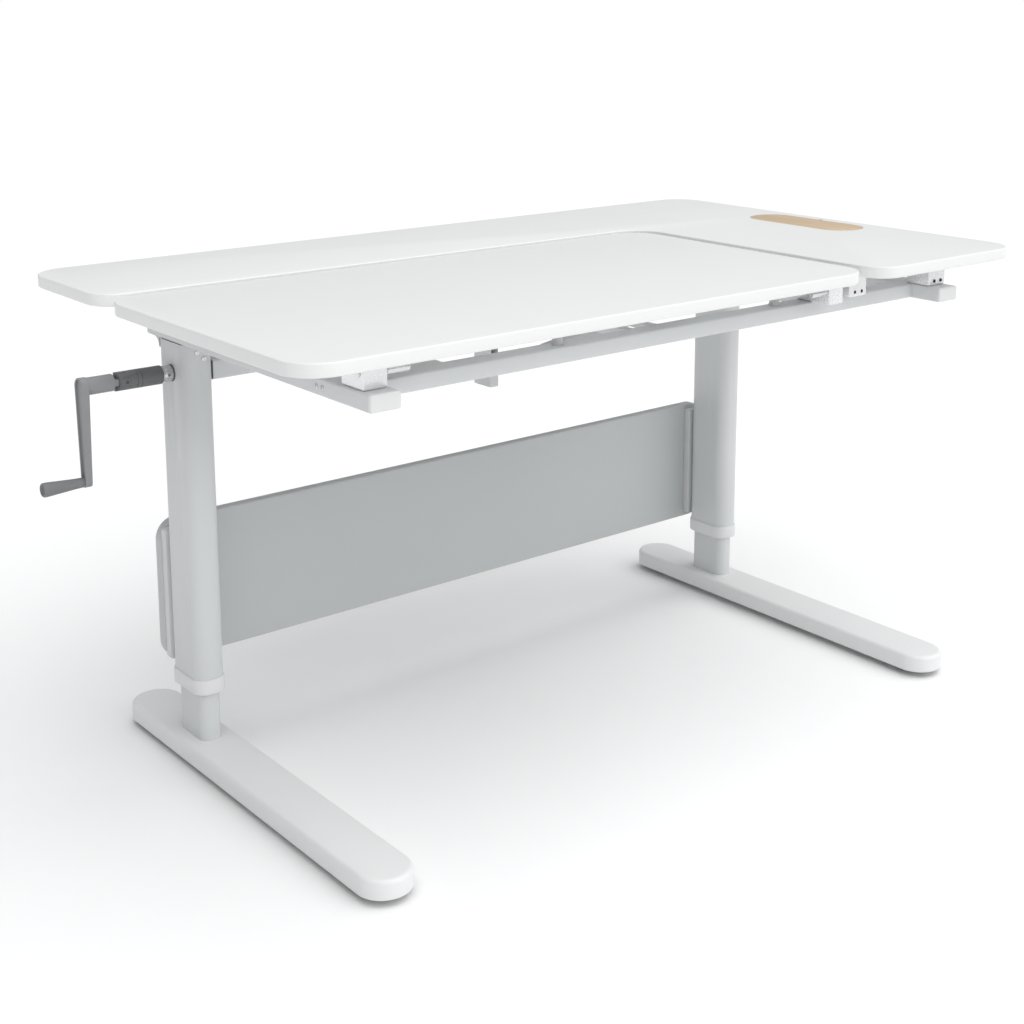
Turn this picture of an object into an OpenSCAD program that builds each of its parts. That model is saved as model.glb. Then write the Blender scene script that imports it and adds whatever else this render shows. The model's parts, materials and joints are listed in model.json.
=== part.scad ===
// Crank desk with a tilting front panel.
// Millimetres. +X to the sitter's right, +Y to the back, +Z up, floor at z = 0.
// The origin is on the floor, under the middle of the whole desk's outline with its crank.

/* [Worktop] */
// Width of the whole worktop
top_w = 1200; // [1000:10:1450]
// Depth of the whole worktop
top_d = 700; // [640:10:850]
// Thickness of the boards
top_t = 16; // [15:1:25]
// Height of the worktop's upper face, as stored
top_z = 640; // [600:5:780]
// Depth of the fixed strip behind the tilting panel
strip_d = 226; // [190:2:280]
// Width of the fixed section beside the tilting panel
side_w = 311; // [260:1:380]
// Gap between the panel's rear edge and the fixed strip
rear_gap = 7; // [4:1:12]
// Gap between the panel's right edge and the fixed section
side_gap = 10; // [4:1:14]
// How far the panel's upper face lies below the fixed top
panel_drop = 2; // [0:0.5:3]
// How far the tilting panel's front edge lies behind the fixed top's
panel_inset = 7; // [0:1:12]
// Corner radius of the worktop's outer corners
corner_r = 50; // [30:1:70]
// Corner radius of the front corners beside the seam
seam_r = 37; // [20:1:50]

/* [Cable outlet] */
// Width of the outlet's wooden cover
cover_w = 75; // [60:1:90]
// Length of the outlet's wooden cover
cover_l = 210; // [150:5:260]
// Thickness of the cover
cover_t = 9; // [6:0.5:12]
// Distance from the worktop's right edge to the cover's middle
cover_inset = 60.5; // [55:0.5:90]
// Width of the ledge that carries the cover
ledge_w = 6; // [4:1:10]
// Radius of the cable notch in the cover's edge
notch_r = 5.5; // [4:0.5:8]

/* [Feet] */
// Length of a foot
foot_l = 630; // [560:10:760]
// Width of a foot
foot_w = 70; // [60:1:84]
// Height of a foot
foot_h = 24; // [20:1:30]
// Wall of a foot
foot_wall = 2.5; // [2:0.1:3]
// How far the middle of a foot lies in front of the desk's middle
foot_forward = 13; // [0:1:30]
// Height of a levelling pad
pad_h = 9.7; // [7:0.1:14]
// Diameter of a levelling pad
pad_d = 36; // [28:1:42]
// Distance from a foot's end to the middle of its pad
pad_inset = 48; // [36:1:70]

/* [Columns] */
// Distance between the middles of the two columns
column_gap = 963; // [860:1:1100]
// Distance from the desk's middle back to the columns
column_y = 138; // [100:1:160]
// Width of an outer tube
outer_w = 42; // [40:1:52]
// Depth of an outer tube
outer_d = 80; // [72:1:96]
// Corner radius of an outer tube
outer_r = 18; // [14:1:20]
// Width of an inner tube
inner_w = 30; // [26:1:32]
// Depth of an inner tube
inner_d = 70; // [60:1:72]
// Corner radius of an inner tube
inner_r = 13; // [9:1:14]
// Wall of the steel tubes
tube_wall = 2; // [1.5:0.1:2.5]
// Height of the collar's lower edge above the floor
collar_z = 101; // [95:1:130]
// Height of a collar
collar_h = 20; // [14:1:30]
// How far a collar stands proud of its tube
collar_proud = 2; // [1.5:0.5:4]
// How far the desk can be lowered from its stored height
lower_travel = 50; // [20:5:50]
// How far the desk can be raised from its stored height
raise_travel = 150; // [80:10:160]

/* [Upper frame] */
// Width of the steel arms
arm_w = 40; // [34:1:46]
// Height of the arms and cross beams
arm_h = 20; // [16:1:28]
// Distance from the worktop's front edge to the arms' front ends
arm_front = 34; // [20:1:45]
// Distance from the worktop's rear edge to the arms' rear ends
arm_rear = 145; // [100:5:155]
// Depth of the front and rear cross beams
beam_d = 30; // [24:1:40]
// Distance from the arms' front ends to the front beam
beam_back = 50; // [45:1:60]
// Height of the brackets between the arms and the worktop
bracket_h = 36; // [30:1:44]
// Width of a lengthwise bar
bar_w = 60; // [50:1:70]
// Height of a lengthwise bar
bar_h = 12; // [8:1:16]
// Distance from the middle bar to each side bar
bar_pitch = 346; // [300:2:360]
// Width of the slot for the strut in the middle bar
bar_slot = 32; // [28:1:36]
// Height of the cover over the cross shaft
shaft_cover_h = 26; // [22:1:34]
// Depth of the cover over the cross shaft
shaft_cover_d = 40; // [30:1:50]
// Distance from the arms down to the crank's axis
shaft_drop = 40; // [36:1:60]

/* [Modesty panel] */
// Width of the modesty panel
modesty_w = 1006; // [900:2:1140]
// Height of the modesty panel
modesty_h = 197; // [150:1:240]
// Thickness of the modesty panel
modesty_t = 16.5; // [12:0.5:20]
// Height of the modesty panel's lower edge
modesty_z = 119; // [110:1:160]
// Thickness of the spacers behind the columns
spacer_t = 12; // [8:1:20]
// Width of the spacers behind the columns
spacer_w = 40; // [30:1:42]

/* [Tilt hinge and strut] */
// Distance from the worktop's front edge to the tilt axis
hinge_back = 60; // [54:1:70]
// Height of the tilt axis above the arms
hinge_up = 18; // [16:1:20]
// Diameter of the hinge pins
hinge_pin_d = 6; // [5:0.5:8]
// Width of the strut's hanging post
post_w = 16; // [14:1:20]
// Length of the strut's hanging post
post_h = 81; // [70:1:100]
// Diameter of the strut's rod
rod_d = 8; // [6:0.5:10]
// Diameter of the strut's cylinder
cylinder_d = 18; // [16:1:22]
// Distance from the tilt axis back to the strut's upper pivot
strut_back = 65; // [55:1:75]
// Diameter of the pins in the strut's eyes
strut_pin_d = 6; // [5:0.5:7]
// Diameter of a rubber bumper
bumper_d = 16; // [12:1:20]

/* [Crank and lifting gear] */
// Radius from the crank's axis to its grip
crank_r = 120; // [90:1:130]
// Diameter of the crank's sleeve and socket
crank_d = 24; // [20:1:28]
// Diameter of the cross shaft
shaft_d = 8; // [7:0.5:8]
// Length of the grip
grip_l = 53; // [45:1:70]
// Pitch radius of the bevel gears at their wide end
gear_r = 11; // [10.5:0.25:11.5]
// Number of teeth on a bevel gear
gear_teeth = 12; // [10:1:14]
// Diameter of a lifting spindle
spindle_d = 14; // [12:1:16]

/* [Hidden] */
$fn = 96;

// Clearances
fit = 0.05;          // running fit, each side
weld = 0.02;         // between pieces that are fixed to each other
slip = 0.3;          // between pieces that move past each other
cut = 1;             // how far a cutting shape runs past the face it cuts

// Crank, outwards from the left column
socket_gap = 1;
socket_l = 14;
sleeve_l = 35;
fork_l = 27;
knuckle_r = crank_d/2;
tongue_t = 9;
crank_tube_l = 35;
crank_tube_d = 22;
arm_plate_t = 9;
crank_out = column_gap/2 + outer_w/2 + socket_gap;
sleeve_out = crank_out + socket_l;
fork_out = sleeve_out + sleeve_l;
knuckle_out = fork_out + fork_l - knuckle_r;
tube_out = fork_out + fork_l + 3;
arm_out = tube_out + crank_tube_l;
grip_out = arm_out + arm_plate_t;
crank_reach = grip_out + grip_l;

// The origin is in the middle of the outline, so the worktop's middle lies to its right.
mid_x = (crank_reach - top_w/2)/2;

// Places
front_y = -top_d/2;
rear_y = top_d/2;
left_x = -column_gap/2;
right_x = column_gap/2;
foot_z = pad_h + slip;
foot_top = foot_z + foot_h;
top_under = top_z - top_t;
arm_top = top_under - bracket_h;
arm_z = arm_top - arm_h;
shaft_z = arm_z - shaft_drop;
arm_y0 = front_y + arm_front;
arm_y1 = rear_y - arm_rear;
beam_y0 = arm_y0 + beam_back;
beam_y1 = beam_y0 + beam_d;
rear_beam_y0 = arm_y1 - beam_d;
bar_top = arm_top - 13;
bar_z = bar_top - bar_h;
hinge_y = front_y + hinge_back;
hinge_z = arm_top + hinge_up;
lip_t = 3;
outer_z = collar_z + lip_t;
column_front = column_y - outer_d/2;
column_rear = column_y + outer_d/2;
bore_w = outer_w - 2*tube_wall;
bore_d = outer_d - 2*tube_wall;
bore_r = outer_r - tube_wall;

// Seams of the worktop
seam_x = top_w/2 - side_w;
seam_y = rear_y - strip_d;
panel_x1 = seam_x - side_gap;
panel_y1 = seam_y - rear_gap;
panel_top = top_z - panel_drop;
panel_under = panel_top - top_t;
inner_corner_r = corner_r;
panel_front_r = corner_r - 4;
cover_x = top_w/2 - cover_inset;
cover_y = 5;
cover_gap = 0.5;
notch_x = cover_x + cover_w/2;
notch_y = cover_y + 4;

// Lifting gear
housing_down = 24;
housing_up = 16;
housing_w = bore_w - 0.6;
housing_d = 44;
gear_room = 14.2;
gear_back = 14;
gear_inner_r = gear_r - 3.5;
bush_d = 14;
bearing_d = 22;
bearing_h = 7;
journal_d = 10;
nut_h = 20;
glide_h = 30;
inner_top = shaft_z - housing_down - lower_travel - 9;
spindle_z = inner_top - nut_h - raise_travel - 10;

// Strut, in the plane of the middle bar
post_z = shaft_z - shaft_cover_h/2 - post_h;
post_wall = 2;
pivot_z = post_z + 21;
upper_y = hinge_y + strut_back;
upper_z = hinge_z - 2;
strut_dy = upper_y - column_y;
strut_dz = upper_z - pivot_z;
strut_l = sqrt(strut_dy*strut_dy + strut_dz*strut_dz);
strut_angle = atan2(strut_dz, -strut_dy);
eye_d = 15;
eye_w = 9;
open_eye_d = strut_pin_d + 6.4;
cylinder_l = 235;
gland_l = 10;
cylinder_wall = 2;
piston_l = 12;

// Screws
screw_d = 4;
screw_head_d = 9;
screw_head_h = 2.5;
bolt_head_d = 8;

// ---- shapes ----

module at_desk() {
    translate([mid_x, 0, 0]) children();
}

// Rectangle with one radius for all corners, centred
module round_rect(w, d, r) {
    square([w - 2*r, d], center = true);
    square([w, d - 2*r], center = true);
    for (sx = [-1, 1], sy = [-1, 1])
        translate([sx*(w/2 - r), sy*(d/2 - r)]) circle(r);
}

// Rectangle between two corners, with its own radius at each corner, front left first
module corner_rect(x0, y0, x1, y1, fl, fr, rr, rl) {
    polygon([
        [x0 + fl, y0], [x1 - fr, y0], [x1, y0 + fr], [x1, y1 - rr],
        [x1 - rr, y1], [x0 + rl, y1], [x0, y1 - rl], [x0, y0 + fl]
    ]);
    if (fl > 0) translate([x0 + fl, y0 + fl]) circle(fl);
    if (fr > 0) translate([x1 - fr, y0 + fr]) circle(fr);
    if (rr > 0) translate([x1 - rr, y1 - rr]) circle(rr);
    if (rl > 0) translate([x0 + rl, y1 - rl]) circle(rl);
}

// Slot shape with round ends along Y, centred
module pill(w, l) {
    square([w, l - w], center = true);
    for (s = [-1, 1]) translate([0, s*(l - w)/2]) circle(w/2);
}

// Box between two corners
module block(low, high) {
    translate(low) cube(high - low);
}

// Cylinder along +X
module rod_x(x0, x1, y, z, d) {
    translate([x0, y, z]) rotate([0, 90, 0]) cylinder(h = x1 - x0, d = d);
}

// Cylinder along +Y
module rod_y(x, y0, y1, z, d) {
    translate([x, y0, z]) rotate([-90, 0, 0]) cylinder(h = y1 - y0, d = d);
}

// Upright tube with rounded corners
module column_tube(x, w, d, r, wall, z0, z1) {
    translate([x, column_y, z0]) difference() {
        linear_extrude(z1 - z0) round_rect(w, d, r);
        translate([0, 0, -cut])
            linear_extrude(z1 - z0 + 2*cut) round_rect(w - 2*wall, d - 2*wall, r - wall);
    }
}

// ---- feet and inner tubes ----

module foot(x) {
    at_desk() translate([x, -foot_forward, foot_z]) difference() {
        linear_extrude(foot_h) pill(foot_w, foot_l);
        difference() {
            translate([0, 0, -cut]) linear_extrude(foot_h - foot_wall + cut)
                pill(foot_w - 2*foot_wall, foot_l - 2*foot_wall);
            for (s = [-1, 1]) translate([0, s*(foot_l/2 - pad_inset), -2*cut])
                cylinder(h = foot_h + 3*cut, d = 22);
        }
        for (s = [-1, 1]) translate([0, s*(foot_l/2 - pad_inset), -2*cut])
            cylinder(h = foot_h - foot_wall + 2*cut, d = screw_d*2 + 2*fit);
    }
}

module left_foot() { color("white") foot(left_x); }
module right_foot() { color("white") foot(right_x); }

module pad(x, side) {
    at_desk() translate([x, -foot_forward + side*(foot_l/2 - pad_inset), 0]) {
        cylinder(h = pad_h, d = pad_d);
        cylinder(h = pad_h + 12, d = screw_d*2);
    }
}

module left_front_pad() { color("dimgray") pad(left_x, -1); }
module left_rear_pad() { color("dimgray") pad(left_x, 1); }
module right_front_pad() { color("dimgray") pad(right_x, -1); }
module right_rear_pad() { color("dimgray") pad(right_x, 1); }

module inner_tube(x) {
    at_desk() column_tube(x, inner_w, inner_d, inner_r, tube_wall, foot_top, inner_top);
}

module left_inner_tube() { color("gainsboro") inner_tube(left_x); }
module right_inner_tube() { color("gainsboro") inner_tube(right_x); }

// Plastic sleeve round the top of the inner tube
module upper_glide(x) {
    at_desk() translate([x, column_y, inner_top - glide_h]) difference() {
        linear_extrude(glide_h) round_rect(bore_w - 2*slip, bore_d - 2*slip, bore_r - slip);
        translate([0, 0, -cut]) linear_extrude(glide_h + 2*cut)
            round_rect(inner_w + 2*weld, inner_d + 2*weld, inner_r + weld);
    }
}

module left_upper_glide() { color("ivory") upper_glide(left_x); }
module right_upper_glide() { color("ivory") upper_glide(right_x); }

// Block between the flat walls of the inner tube
module spindle_nut(x) {
    nut_w = inner_w - 2*tube_wall - 2*weld;
    nut_d = inner_d - 2*inner_r - 2*weld;
    at_desk() translate([x, column_y, inner_top - nut_h]) difference() {
        translate([-nut_w/2, -nut_d/2, 0]) cube([nut_w, nut_d, nut_h]);
        translate([0, 0, -cut]) cylinder(h = nut_h + 2*cut, d = spindle_d + 2*fit);
    }
}

module left_spindle_nut() { color("goldenrod") spindle_nut(left_x); }
module right_spindle_nut() { color("goldenrod") spindle_nut(right_x); }

// ---- columns ----

// The shaft's hole starts outside the tube's left side and ends at hole_end
module outer_tube(x, hole_end) {
    at_desk() difference() {
        column_tube(x, outer_w, outer_d, outer_r, tube_wall, outer_z, arm_z);
        rod_x(x - outer_w, hole_end, column_y, shaft_z, bush_d + 2*fit);
    }
}

module left_outer_tube() { color("whitesmoke") outer_tube(left_x, left_x + outer_w); }
module right_outer_tube() { color("whitesmoke") outer_tube(right_x, right_x); }

module column_collar(x) {
    translate([x, column_y, collar_z]) difference() {
        linear_extrude(collar_h)
            round_rect(outer_w + 2*collar_proud, outer_d + 2*collar_proud, outer_r + collar_proud);
        translate([0, 0, lip_t]) linear_extrude(collar_h)
            round_rect(outer_w + 2*weld, outer_d + 2*weld, outer_r + weld);
        translate([0, 0, -cut]) linear_extrude(collar_h)
            round_rect(inner_w + 2*slip, inner_d + 2*slip, inner_r + slip);
    }
}

module column_collars() {
    color("gainsboro") at_desk() for (x = [left_x, right_x]) column_collar(x);
}

module lower_glide(x) {
    translate([x, column_y, outer_z]) difference() {
        linear_extrude(glide_h) round_rect(bore_w - 2*weld, bore_d - 2*weld, bore_r - weld);
        translate([0, 0, -cut]) linear_extrude(glide_h + 2*cut)
            round_rect(inner_w + 2*slip, inner_d + 2*slip, inner_r + slip);
    }
}

module lower_glides() {
    color("ivory") at_desk() for (x = [left_x, right_x]) lower_glide(x);
}

// ---- arms, beams and bars ----

cap_t = 4;

module arm(x) {
    at_desk() difference() {
        block([x - arm_w/2, arm_y0 + cap_t, arm_z], [x + arm_w/2, arm_y1 - cap_t, arm_top]);
        block(
            [x - arm_w/2 + tube_wall, arm_y0, arm_z + tube_wall],
            [x + arm_w/2 - tube_wall, arm_y1, arm_top - tube_wall]
        );
    }
}

module left_arm() { color("whitesmoke") arm(left_x); }
module right_arm() { color("whitesmoke") arm(right_x); }

module arm_cap(x, y, inward) {
    plug = 12;
    inside_w = arm_w - 2*tube_wall - 2*weld;
    inside_h = arm_h - 2*tube_wall - 2*weld;
    translate([x, y, (arm_z + arm_top)/2]) rotate([inward*90, 0, 0]) {
        linear_extrude(cap_t) round_rect(arm_w, arm_h, 3);
        translate([0, 0, -plug]) linear_extrude(plug) square([inside_w, inside_h], center = true);
    }
}

module arm_caps() {
    color("gainsboro") at_desk() for (x = [left_x, right_x]) {
        arm_cap(x, arm_y0 + cap_t, 1);
        arm_cap(x, arm_y1 - cap_t, -1);
    }
}

// Fillet under the arm, behind the column
module gusset(x) {
    size = 14;
    translate([x - arm_w/2 + 4, column_rear, arm_z - size]) rotate([90, 0, 90])
        linear_extrude(arm_w - 8) difference() {
            square(size);
            translate([size, 0]) circle(size - 1);
        }
}

module gussets() {
    color("whitesmoke") at_desk() for (x = [left_x, right_x]) gusset(x);
}

module cross_beam(y0, y1) {
    x0 = left_x + arm_w/2;
    x1 = right_x - arm_w/2;
    at_desk() difference() {
        block([x0, y0, arm_z], [x1, y1, arm_top]);
        block(
            [x0 - cut, y0 + tube_wall, arm_z + tube_wall],
            [x1 + cut, y1 - tube_wall, arm_top - tube_wall]
        );
    }
}

module front_beam() { color("whitesmoke") cross_beam(beam_y0, beam_y1); }
module rear_beam() { color("whitesmoke") cross_beam(rear_beam_y0, arm_y1); }

// Lengthwise bar: an upside-down channel between the two beams
module bar(x) {
    difference() {
        block([x - bar_w/2, beam_y1, bar_z], [x + bar_w/2, rear_beam_y0, bar_top]);
        block(
            [x - bar_w/2 + tube_wall, beam_y1 - cut, bar_z - cut],
            [x + bar_w/2 - tube_wall, rear_beam_y0 + cut, bar_top - tube_wall]
        );
    }
}

module side_bars() {
    color("gainsboro") at_desk() for (s = [-1, 1]) bar(s*bar_pitch);
}

slot_back = 190;

module middle_bar() {
    color("gainsboro") at_desk() difference() {
        bar(0);
        block(
            [-bar_slot/2, beam_y1 + 6, bar_z - cut],
            [bar_slot/2, beam_y1 + 6 + slot_back, bar_top + cut]
        );
    }
}

// ---- cross shaft's cover and the strut's post ----

cover_end_gap = 6.5;

module shaft_cover() {
    x1 = column_gap/2 - outer_w/2 - cover_end_gap;
    wall = 1.5;
    y0 = column_y - shaft_cover_d/2;
    z0 = shaft_z - shaft_cover_h/2;
    color("whitesmoke") at_desk() difference() {
        block([-x1, y0, z0], [x1, y0 + shaft_cover_d, z0 + shaft_cover_h]);
        block(
            [-x1 - cut, y0 + wall, z0 + wall],
            [x1 + cut, y0 + shaft_cover_d - wall, z0 + shaft_cover_h - wall]
        );
    }
}

module shaft_cover_collars() {
    inner_face = column_gap/2 - outer_w/2;
    flange_d = shaft_cover_d - 4;
    flange_h = shaft_cover_h - 4;
    color("dimgray") at_desk() for (s = [-1, 1]) difference() {
        translate([s*(inner_face - cover_end_gap/2), column_y, shaft_z])
            cube([cover_end_gap, flange_d, flange_h], center = true);
        rod_x(s*inner_face - 2*cover_end_gap, s*inner_face + 2*cover_end_gap,
            column_y, shaft_z, bush_d + 2*fit);
    }
}

// Square tube that hangs from the cover, with a slot in its front for the strut
module strut_post() {
    inside = post_w/2 - post_wall;
    y0 = column_y - shaft_cover_d/2;
    y1 = column_y + shaft_cover_d/2;
    z1 = post_z + post_h;
    color("gainsboro") at_desk() difference() {
        block([-post_w/2, y0, post_z], [post_w/2, y1, z1]);
        block([-inside, y0 + post_wall, post_z - cut], [inside, y1 - post_wall, z1 + cut]);
        block([-inside, y0 - cut, pivot_z - 4], [inside, y0 + 2*post_wall, z1 + cut]);
        rod_x(-post_w, post_w, column_y, pivot_z, strut_pin_d + 2*weld);
    }
}

module strut_post_pin() {
    color("silver") at_desk() {
        rod_x(-post_w/2 - 1.5, post_w/2 + 1.5, column_y, pivot_z, strut_pin_d);
        for (s = [-1, 1]) rod_x(s*(post_w/2 + 1) - 0.9, s*(post_w/2 + 1) + 0.9,
            column_y, pivot_z, strut_pin_d + 4);
    }
}

// ---- hinges of the tilting panel ----

hinge_front = 8;
ear_h = 28;
left_bracket_x = left_x - 16.5;
left_bracket_w = 32;
leaf_w = 30;
right_bracket_w = 28;
right_bracket_x = panel_x1 - 5 - right_bracket_w;
barrel_d = hinge_pin_d + 5;

// Folded steel shoe: floor, front and two ears with a pin hole
module hinge_bracket(x, w, y_end) {
    wall = 2;
    y0 = hinge_y - hinge_front;
    difference() {
        block([x, y0, arm_top], [x + w, y_end, arm_top + ear_h]);
        block([x + wall, y0 + wall, arm_top + wall], [x + w - wall, y_end + cut, top_z]);
        rod_x(x - cut, x + w + cut, hinge_y, hinge_z, hinge_pin_d + 2*weld);
    }
}

module hinge_brackets() {
    color("white") at_desk() {
        hinge_bracket(left_bracket_x, left_bracket_w, hinge_y + 34);
        hinge_bracket(right_bracket_x, right_bracket_w, beam_y1 - 4);
    }
}

left_leaf_x = left_bracket_x + left_bracket_w + 1;
right_leaf_x = right_bracket_x - 1 - leaf_w;

module hinge_pins() {
    color("silver") at_desk() {
        rod_x(left_bracket_x - 1.5, left_leaf_x + leaf_w + 1.5, hinge_y, hinge_z, hinge_pin_d);
        rod_x(right_leaf_x - 1.5, right_bracket_x + right_bracket_w + 1.5,
            hinge_y, hinge_z, hinge_pin_d);
    }
}

module hinge_leaf(x) {
    plate_t = 2.5;
    web_t = 3;
    difference() {
        union() {
            block([x, hinge_y - 5, panel_under - plate_t], [x + leaf_w, hinge_y + 45, panel_under]);
            block([x, hinge_y - web_t/2, hinge_z], [x + leaf_w, hinge_y + web_t/2, panel_under - cut]);
            rod_x(x, x + leaf_w, hinge_y, hinge_z, barrel_d);
        }
        rod_x(x - cut, x + leaf_w + cut, hinge_y, hinge_z, hinge_pin_d + 2*fit);
    }
}

module hinge_leaves() {
    color("gainsboro") at_desk() {
        hinge_leaf(left_leaf_x);
        hinge_leaf(right_leaf_x);
    }
}

// ---- brackets under the fixed top ----

// Folded steel foot: floor, front, two sides and an upper flange, open at its back
module top_bracket(x, y, w, d) {
    wall = 2;
    difference() {
        block([x - w/2, y, arm_top], [x + w/2, y + d, top_under]);
        block(
            [x - w/2 + wall, y + wall, arm_top + wall],
            [x + w/2 - wall, y + d + cut, top_under - wall]
        );
        for (s = [-1, 1]) rod_y(x + s*w/5, y - cut, y + wall + cut, arm_top + 7, screw_d + 1);
        translate([x, y + d/2, top_under - 2*wall]) cylinder(h = 3*wall, d = screw_d + 1);
    }
}

bracket_w = 36;
bracket_d = 40;
bracket_front_y = arm_y0 + 20;
inner_bracket_x = seam_x + 38;
BRACKETS = [
    [right_x, bracket_front_y],
    [inner_bracket_x, beam_y0 - 14],
    [left_x, rear_beam_y0 - 14],
    [right_x, rear_beam_y0 - 14]
];

module top_brackets() {
    color("white") at_desk() for (b = BRACKETS) top_bracket(b[0], b[1], bracket_w, bracket_d);
}

module bracket_bolts() {
    color("dimgray") at_desk() for (b = BRACKETS, s = [-1, 1]) {
        x = b[0] + s*bracket_w/5;
        rod_y(x, b[1] - 2.5, b[1], arm_top + 7, bolt_head_d);
        rod_y(x, b[1] - 1, b[1] + 6, arm_top + 7, screw_d);
    }
}

// ---- worktop ----

// Points along an arc from one angle to another
function arc(x, y, r, from, to, steps = 16) =
    [for (i = [0 : steps]) let (a = from + (to - from)*i/steps) [x + r*cos(a), y + r*sin(a)]];

// L shape, anticlockwise from the side section's front left corner
module fixed_outline() {
    half = top_w/2;
    polygon(concat(
        arc(seam_x + seam_r, front_y + seam_r, seam_r, 180, 270),
        arc(half - corner_r, front_y + corner_r, corner_r, 270, 360),
        arc(half - corner_r, rear_y - corner_r, corner_r, 0, 90),
        arc(-half + corner_r, rear_y - corner_r, corner_r, 90, 180),
        arc(-half + seam_r, seam_y + seam_r, seam_r, 180, 270),
        arc(seam_x - inner_corner_r, seam_y - inner_corner_r, inner_corner_r, 90, 0)
    ));
}

// Way for a lead: a round notch that runs inwards past the cover's ledge
module notch_outline() {
    reach = ledge_w + 3;
    circle(notch_r);
    translate([-reach, -notch_r]) square([reach, 2*notch_r]);
}

module fixed_top() {
    rebate_w = cover_w + 2*cover_gap;
    rebate_l = cover_l + 2*cover_gap;
    color("white") at_desk() difference() {
        translate([0, 0, top_under]) linear_extrude(top_t) fixed_outline();
        translate([cover_x, cover_y, top_z - cover_t]) linear_extrude(top_t) pill(rebate_w, rebate_l);
        translate([cover_x, cover_y, top_under - cut]) linear_extrude(top_t)
            pill(rebate_w - 2*ledge_w, rebate_l - 2*ledge_w);
        translate([notch_x, notch_y, top_under - cut]) linear_extrude(top_t + 2*cut) notch_outline();
    }
}

module cable_cover() {
    color("tan") at_desk() difference() {
        translate([cover_x, cover_y, top_z - cover_t]) linear_extrude(cover_t) pill(cover_w, cover_l);
        translate([notch_x, notch_y, top_z - 2*cover_t]) cylinder(h = 3*cover_t, r = notch_r);
    }
}

module tilt_panel() {
    color("white") at_desk() translate([0, 0, panel_under]) linear_extrude(top_t)
        corner_rect(-top_w/2, front_y + panel_inset, panel_x1, panel_y1,
            panel_front_r, panel_front_r, inner_corner_r, panel_front_r);
}

// ---- screws ----

modesty_screw_in = 34;

module top_screw(b) {
    wall = 2;
    x = b[0];
    y = b[1] + bracket_d/2;
    translate([x, y, top_under - wall - screw_head_h])
        cylinder(h = screw_head_h, d = screw_head_d);
    translate([x, y, top_under - wall - cut]) cylinder(h = wall + cut, d = screw_d);
}

module modesty_screw(x, z) {
    y = column_rear + spacer_t + modesty_t;
    rod_y(x, y, y + screw_head_h, z, screw_head_d + 2);
}

module board_screws() {
    color("silver") at_desk() {
        for (b = BRACKETS) top_screw(b);
        for (x = [left_x, right_x], z = [modesty_screw_in, modesty_h - modesty_screw_in])
            modesty_screw(x, modesty_z + z);
    }
}

// ---- bumpers ----

bumper_x = 190;
bumper_y = beam_y0 + bumper_d;
rear_bumper_y = panel_y1 - 25;

module bumper(x, y, z0) {
    translate([x, y, z0]) cylinder(h = panel_under - slip - z0, d = bumper_d);
}

module bumpers() {
    color("lightgray") at_desk() {
        for (s = [-1, 1]) bumper(s*bumper_x, bumper_y, arm_top);
        bumper(left_x, rear_bumper_y, arm_top);
        bumper(0, rear_bumper_y, bar_top);
    }
}

// ---- modesty panel ----

modesty_r = 28;
spacer_in = 8;

module modesty_panel() {
    color("silver") at_desk()
        translate([0, column_rear + spacer_t + modesty_t, modesty_z + modesty_h/2])
            rotate([90, 0, 0]) linear_extrude(modesty_t) round_rect(modesty_w, modesty_h, modesty_r);
}

module modesty_spacers() {
    color("gainsboro") at_desk() for (x = [left_x, right_x]) block(
        [x - spacer_w/2, column_rear, modesty_z + spacer_in],
        [x + spacer_w/2, column_rear + spacer_t, modesty_z + modesty_h - spacer_in]
    );
}

// ---- lifting gear in the column heads ----

module gear_housing(x) {
    translate([x, column_y, shaft_z]) difference() {
        translate([-housing_w/2, -housing_d/2, -housing_down])
            cube([housing_w, housing_d, housing_down + housing_up]);
        translate([-gear_back - 0.5, -gear_room, -15])
            cube([2*gear_back + 1, 2*gear_room, 28]);
        rod_x(-housing_w, housing_w, 0, 0, bush_d + 2*weld);
        translate([0, 0, -housing_down - cut]) cylinder(h = bearing_h + cut, d = bearing_d + 2*weld);
        translate([0, 0, -housing_down - cut]) cylinder(h = 12, d = journal_d + 4);
    }
}

module gear_housings() {
    color("gray") at_desk() for (x = [left_x, right_x]) gear_housing(x);
}

// Bush between two distances from a column's middle
module shaft_bush(x, from, to) {
    low = min(from, to);
    high = max(from, to);
    difference() {
        rod_x(x + low, x + high, column_y, shaft_z, bush_d);
        rod_x(x + low - cut, x + high + cut, column_y, shaft_z, shaft_d + 2*fit);
    }
}

module shaft_bushes() {
    room = gear_back + 0.6;
    color("peru") at_desk() {
        shaft_bush(left_x, -outer_w/2, -room);
        shaft_bush(left_x, room, outer_w/2);
        shaft_bush(right_x, -outer_w/2, -room);
        shaft_bush(right_x, room, bore_w/2 - slip);
    }
}

module spindle_bearings() {
    color("silver") at_desk() for (x = [left_x, right_x])
        translate([x, column_y, shaft_z - housing_down]) difference() {
            cylinder(h = bearing_h, d = bearing_d);
            translate([0, 0, -cut]) cylinder(h = bearing_h + 2*cut, d = journal_d + 2*fit);
        }
}

module cross_shaft() {
    color("silver") at_desk()
        rod_x(-crank_out - socket_l + 2, right_x + bore_w/2 - 1, column_y, shaft_z, shaft_d);
}

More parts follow.
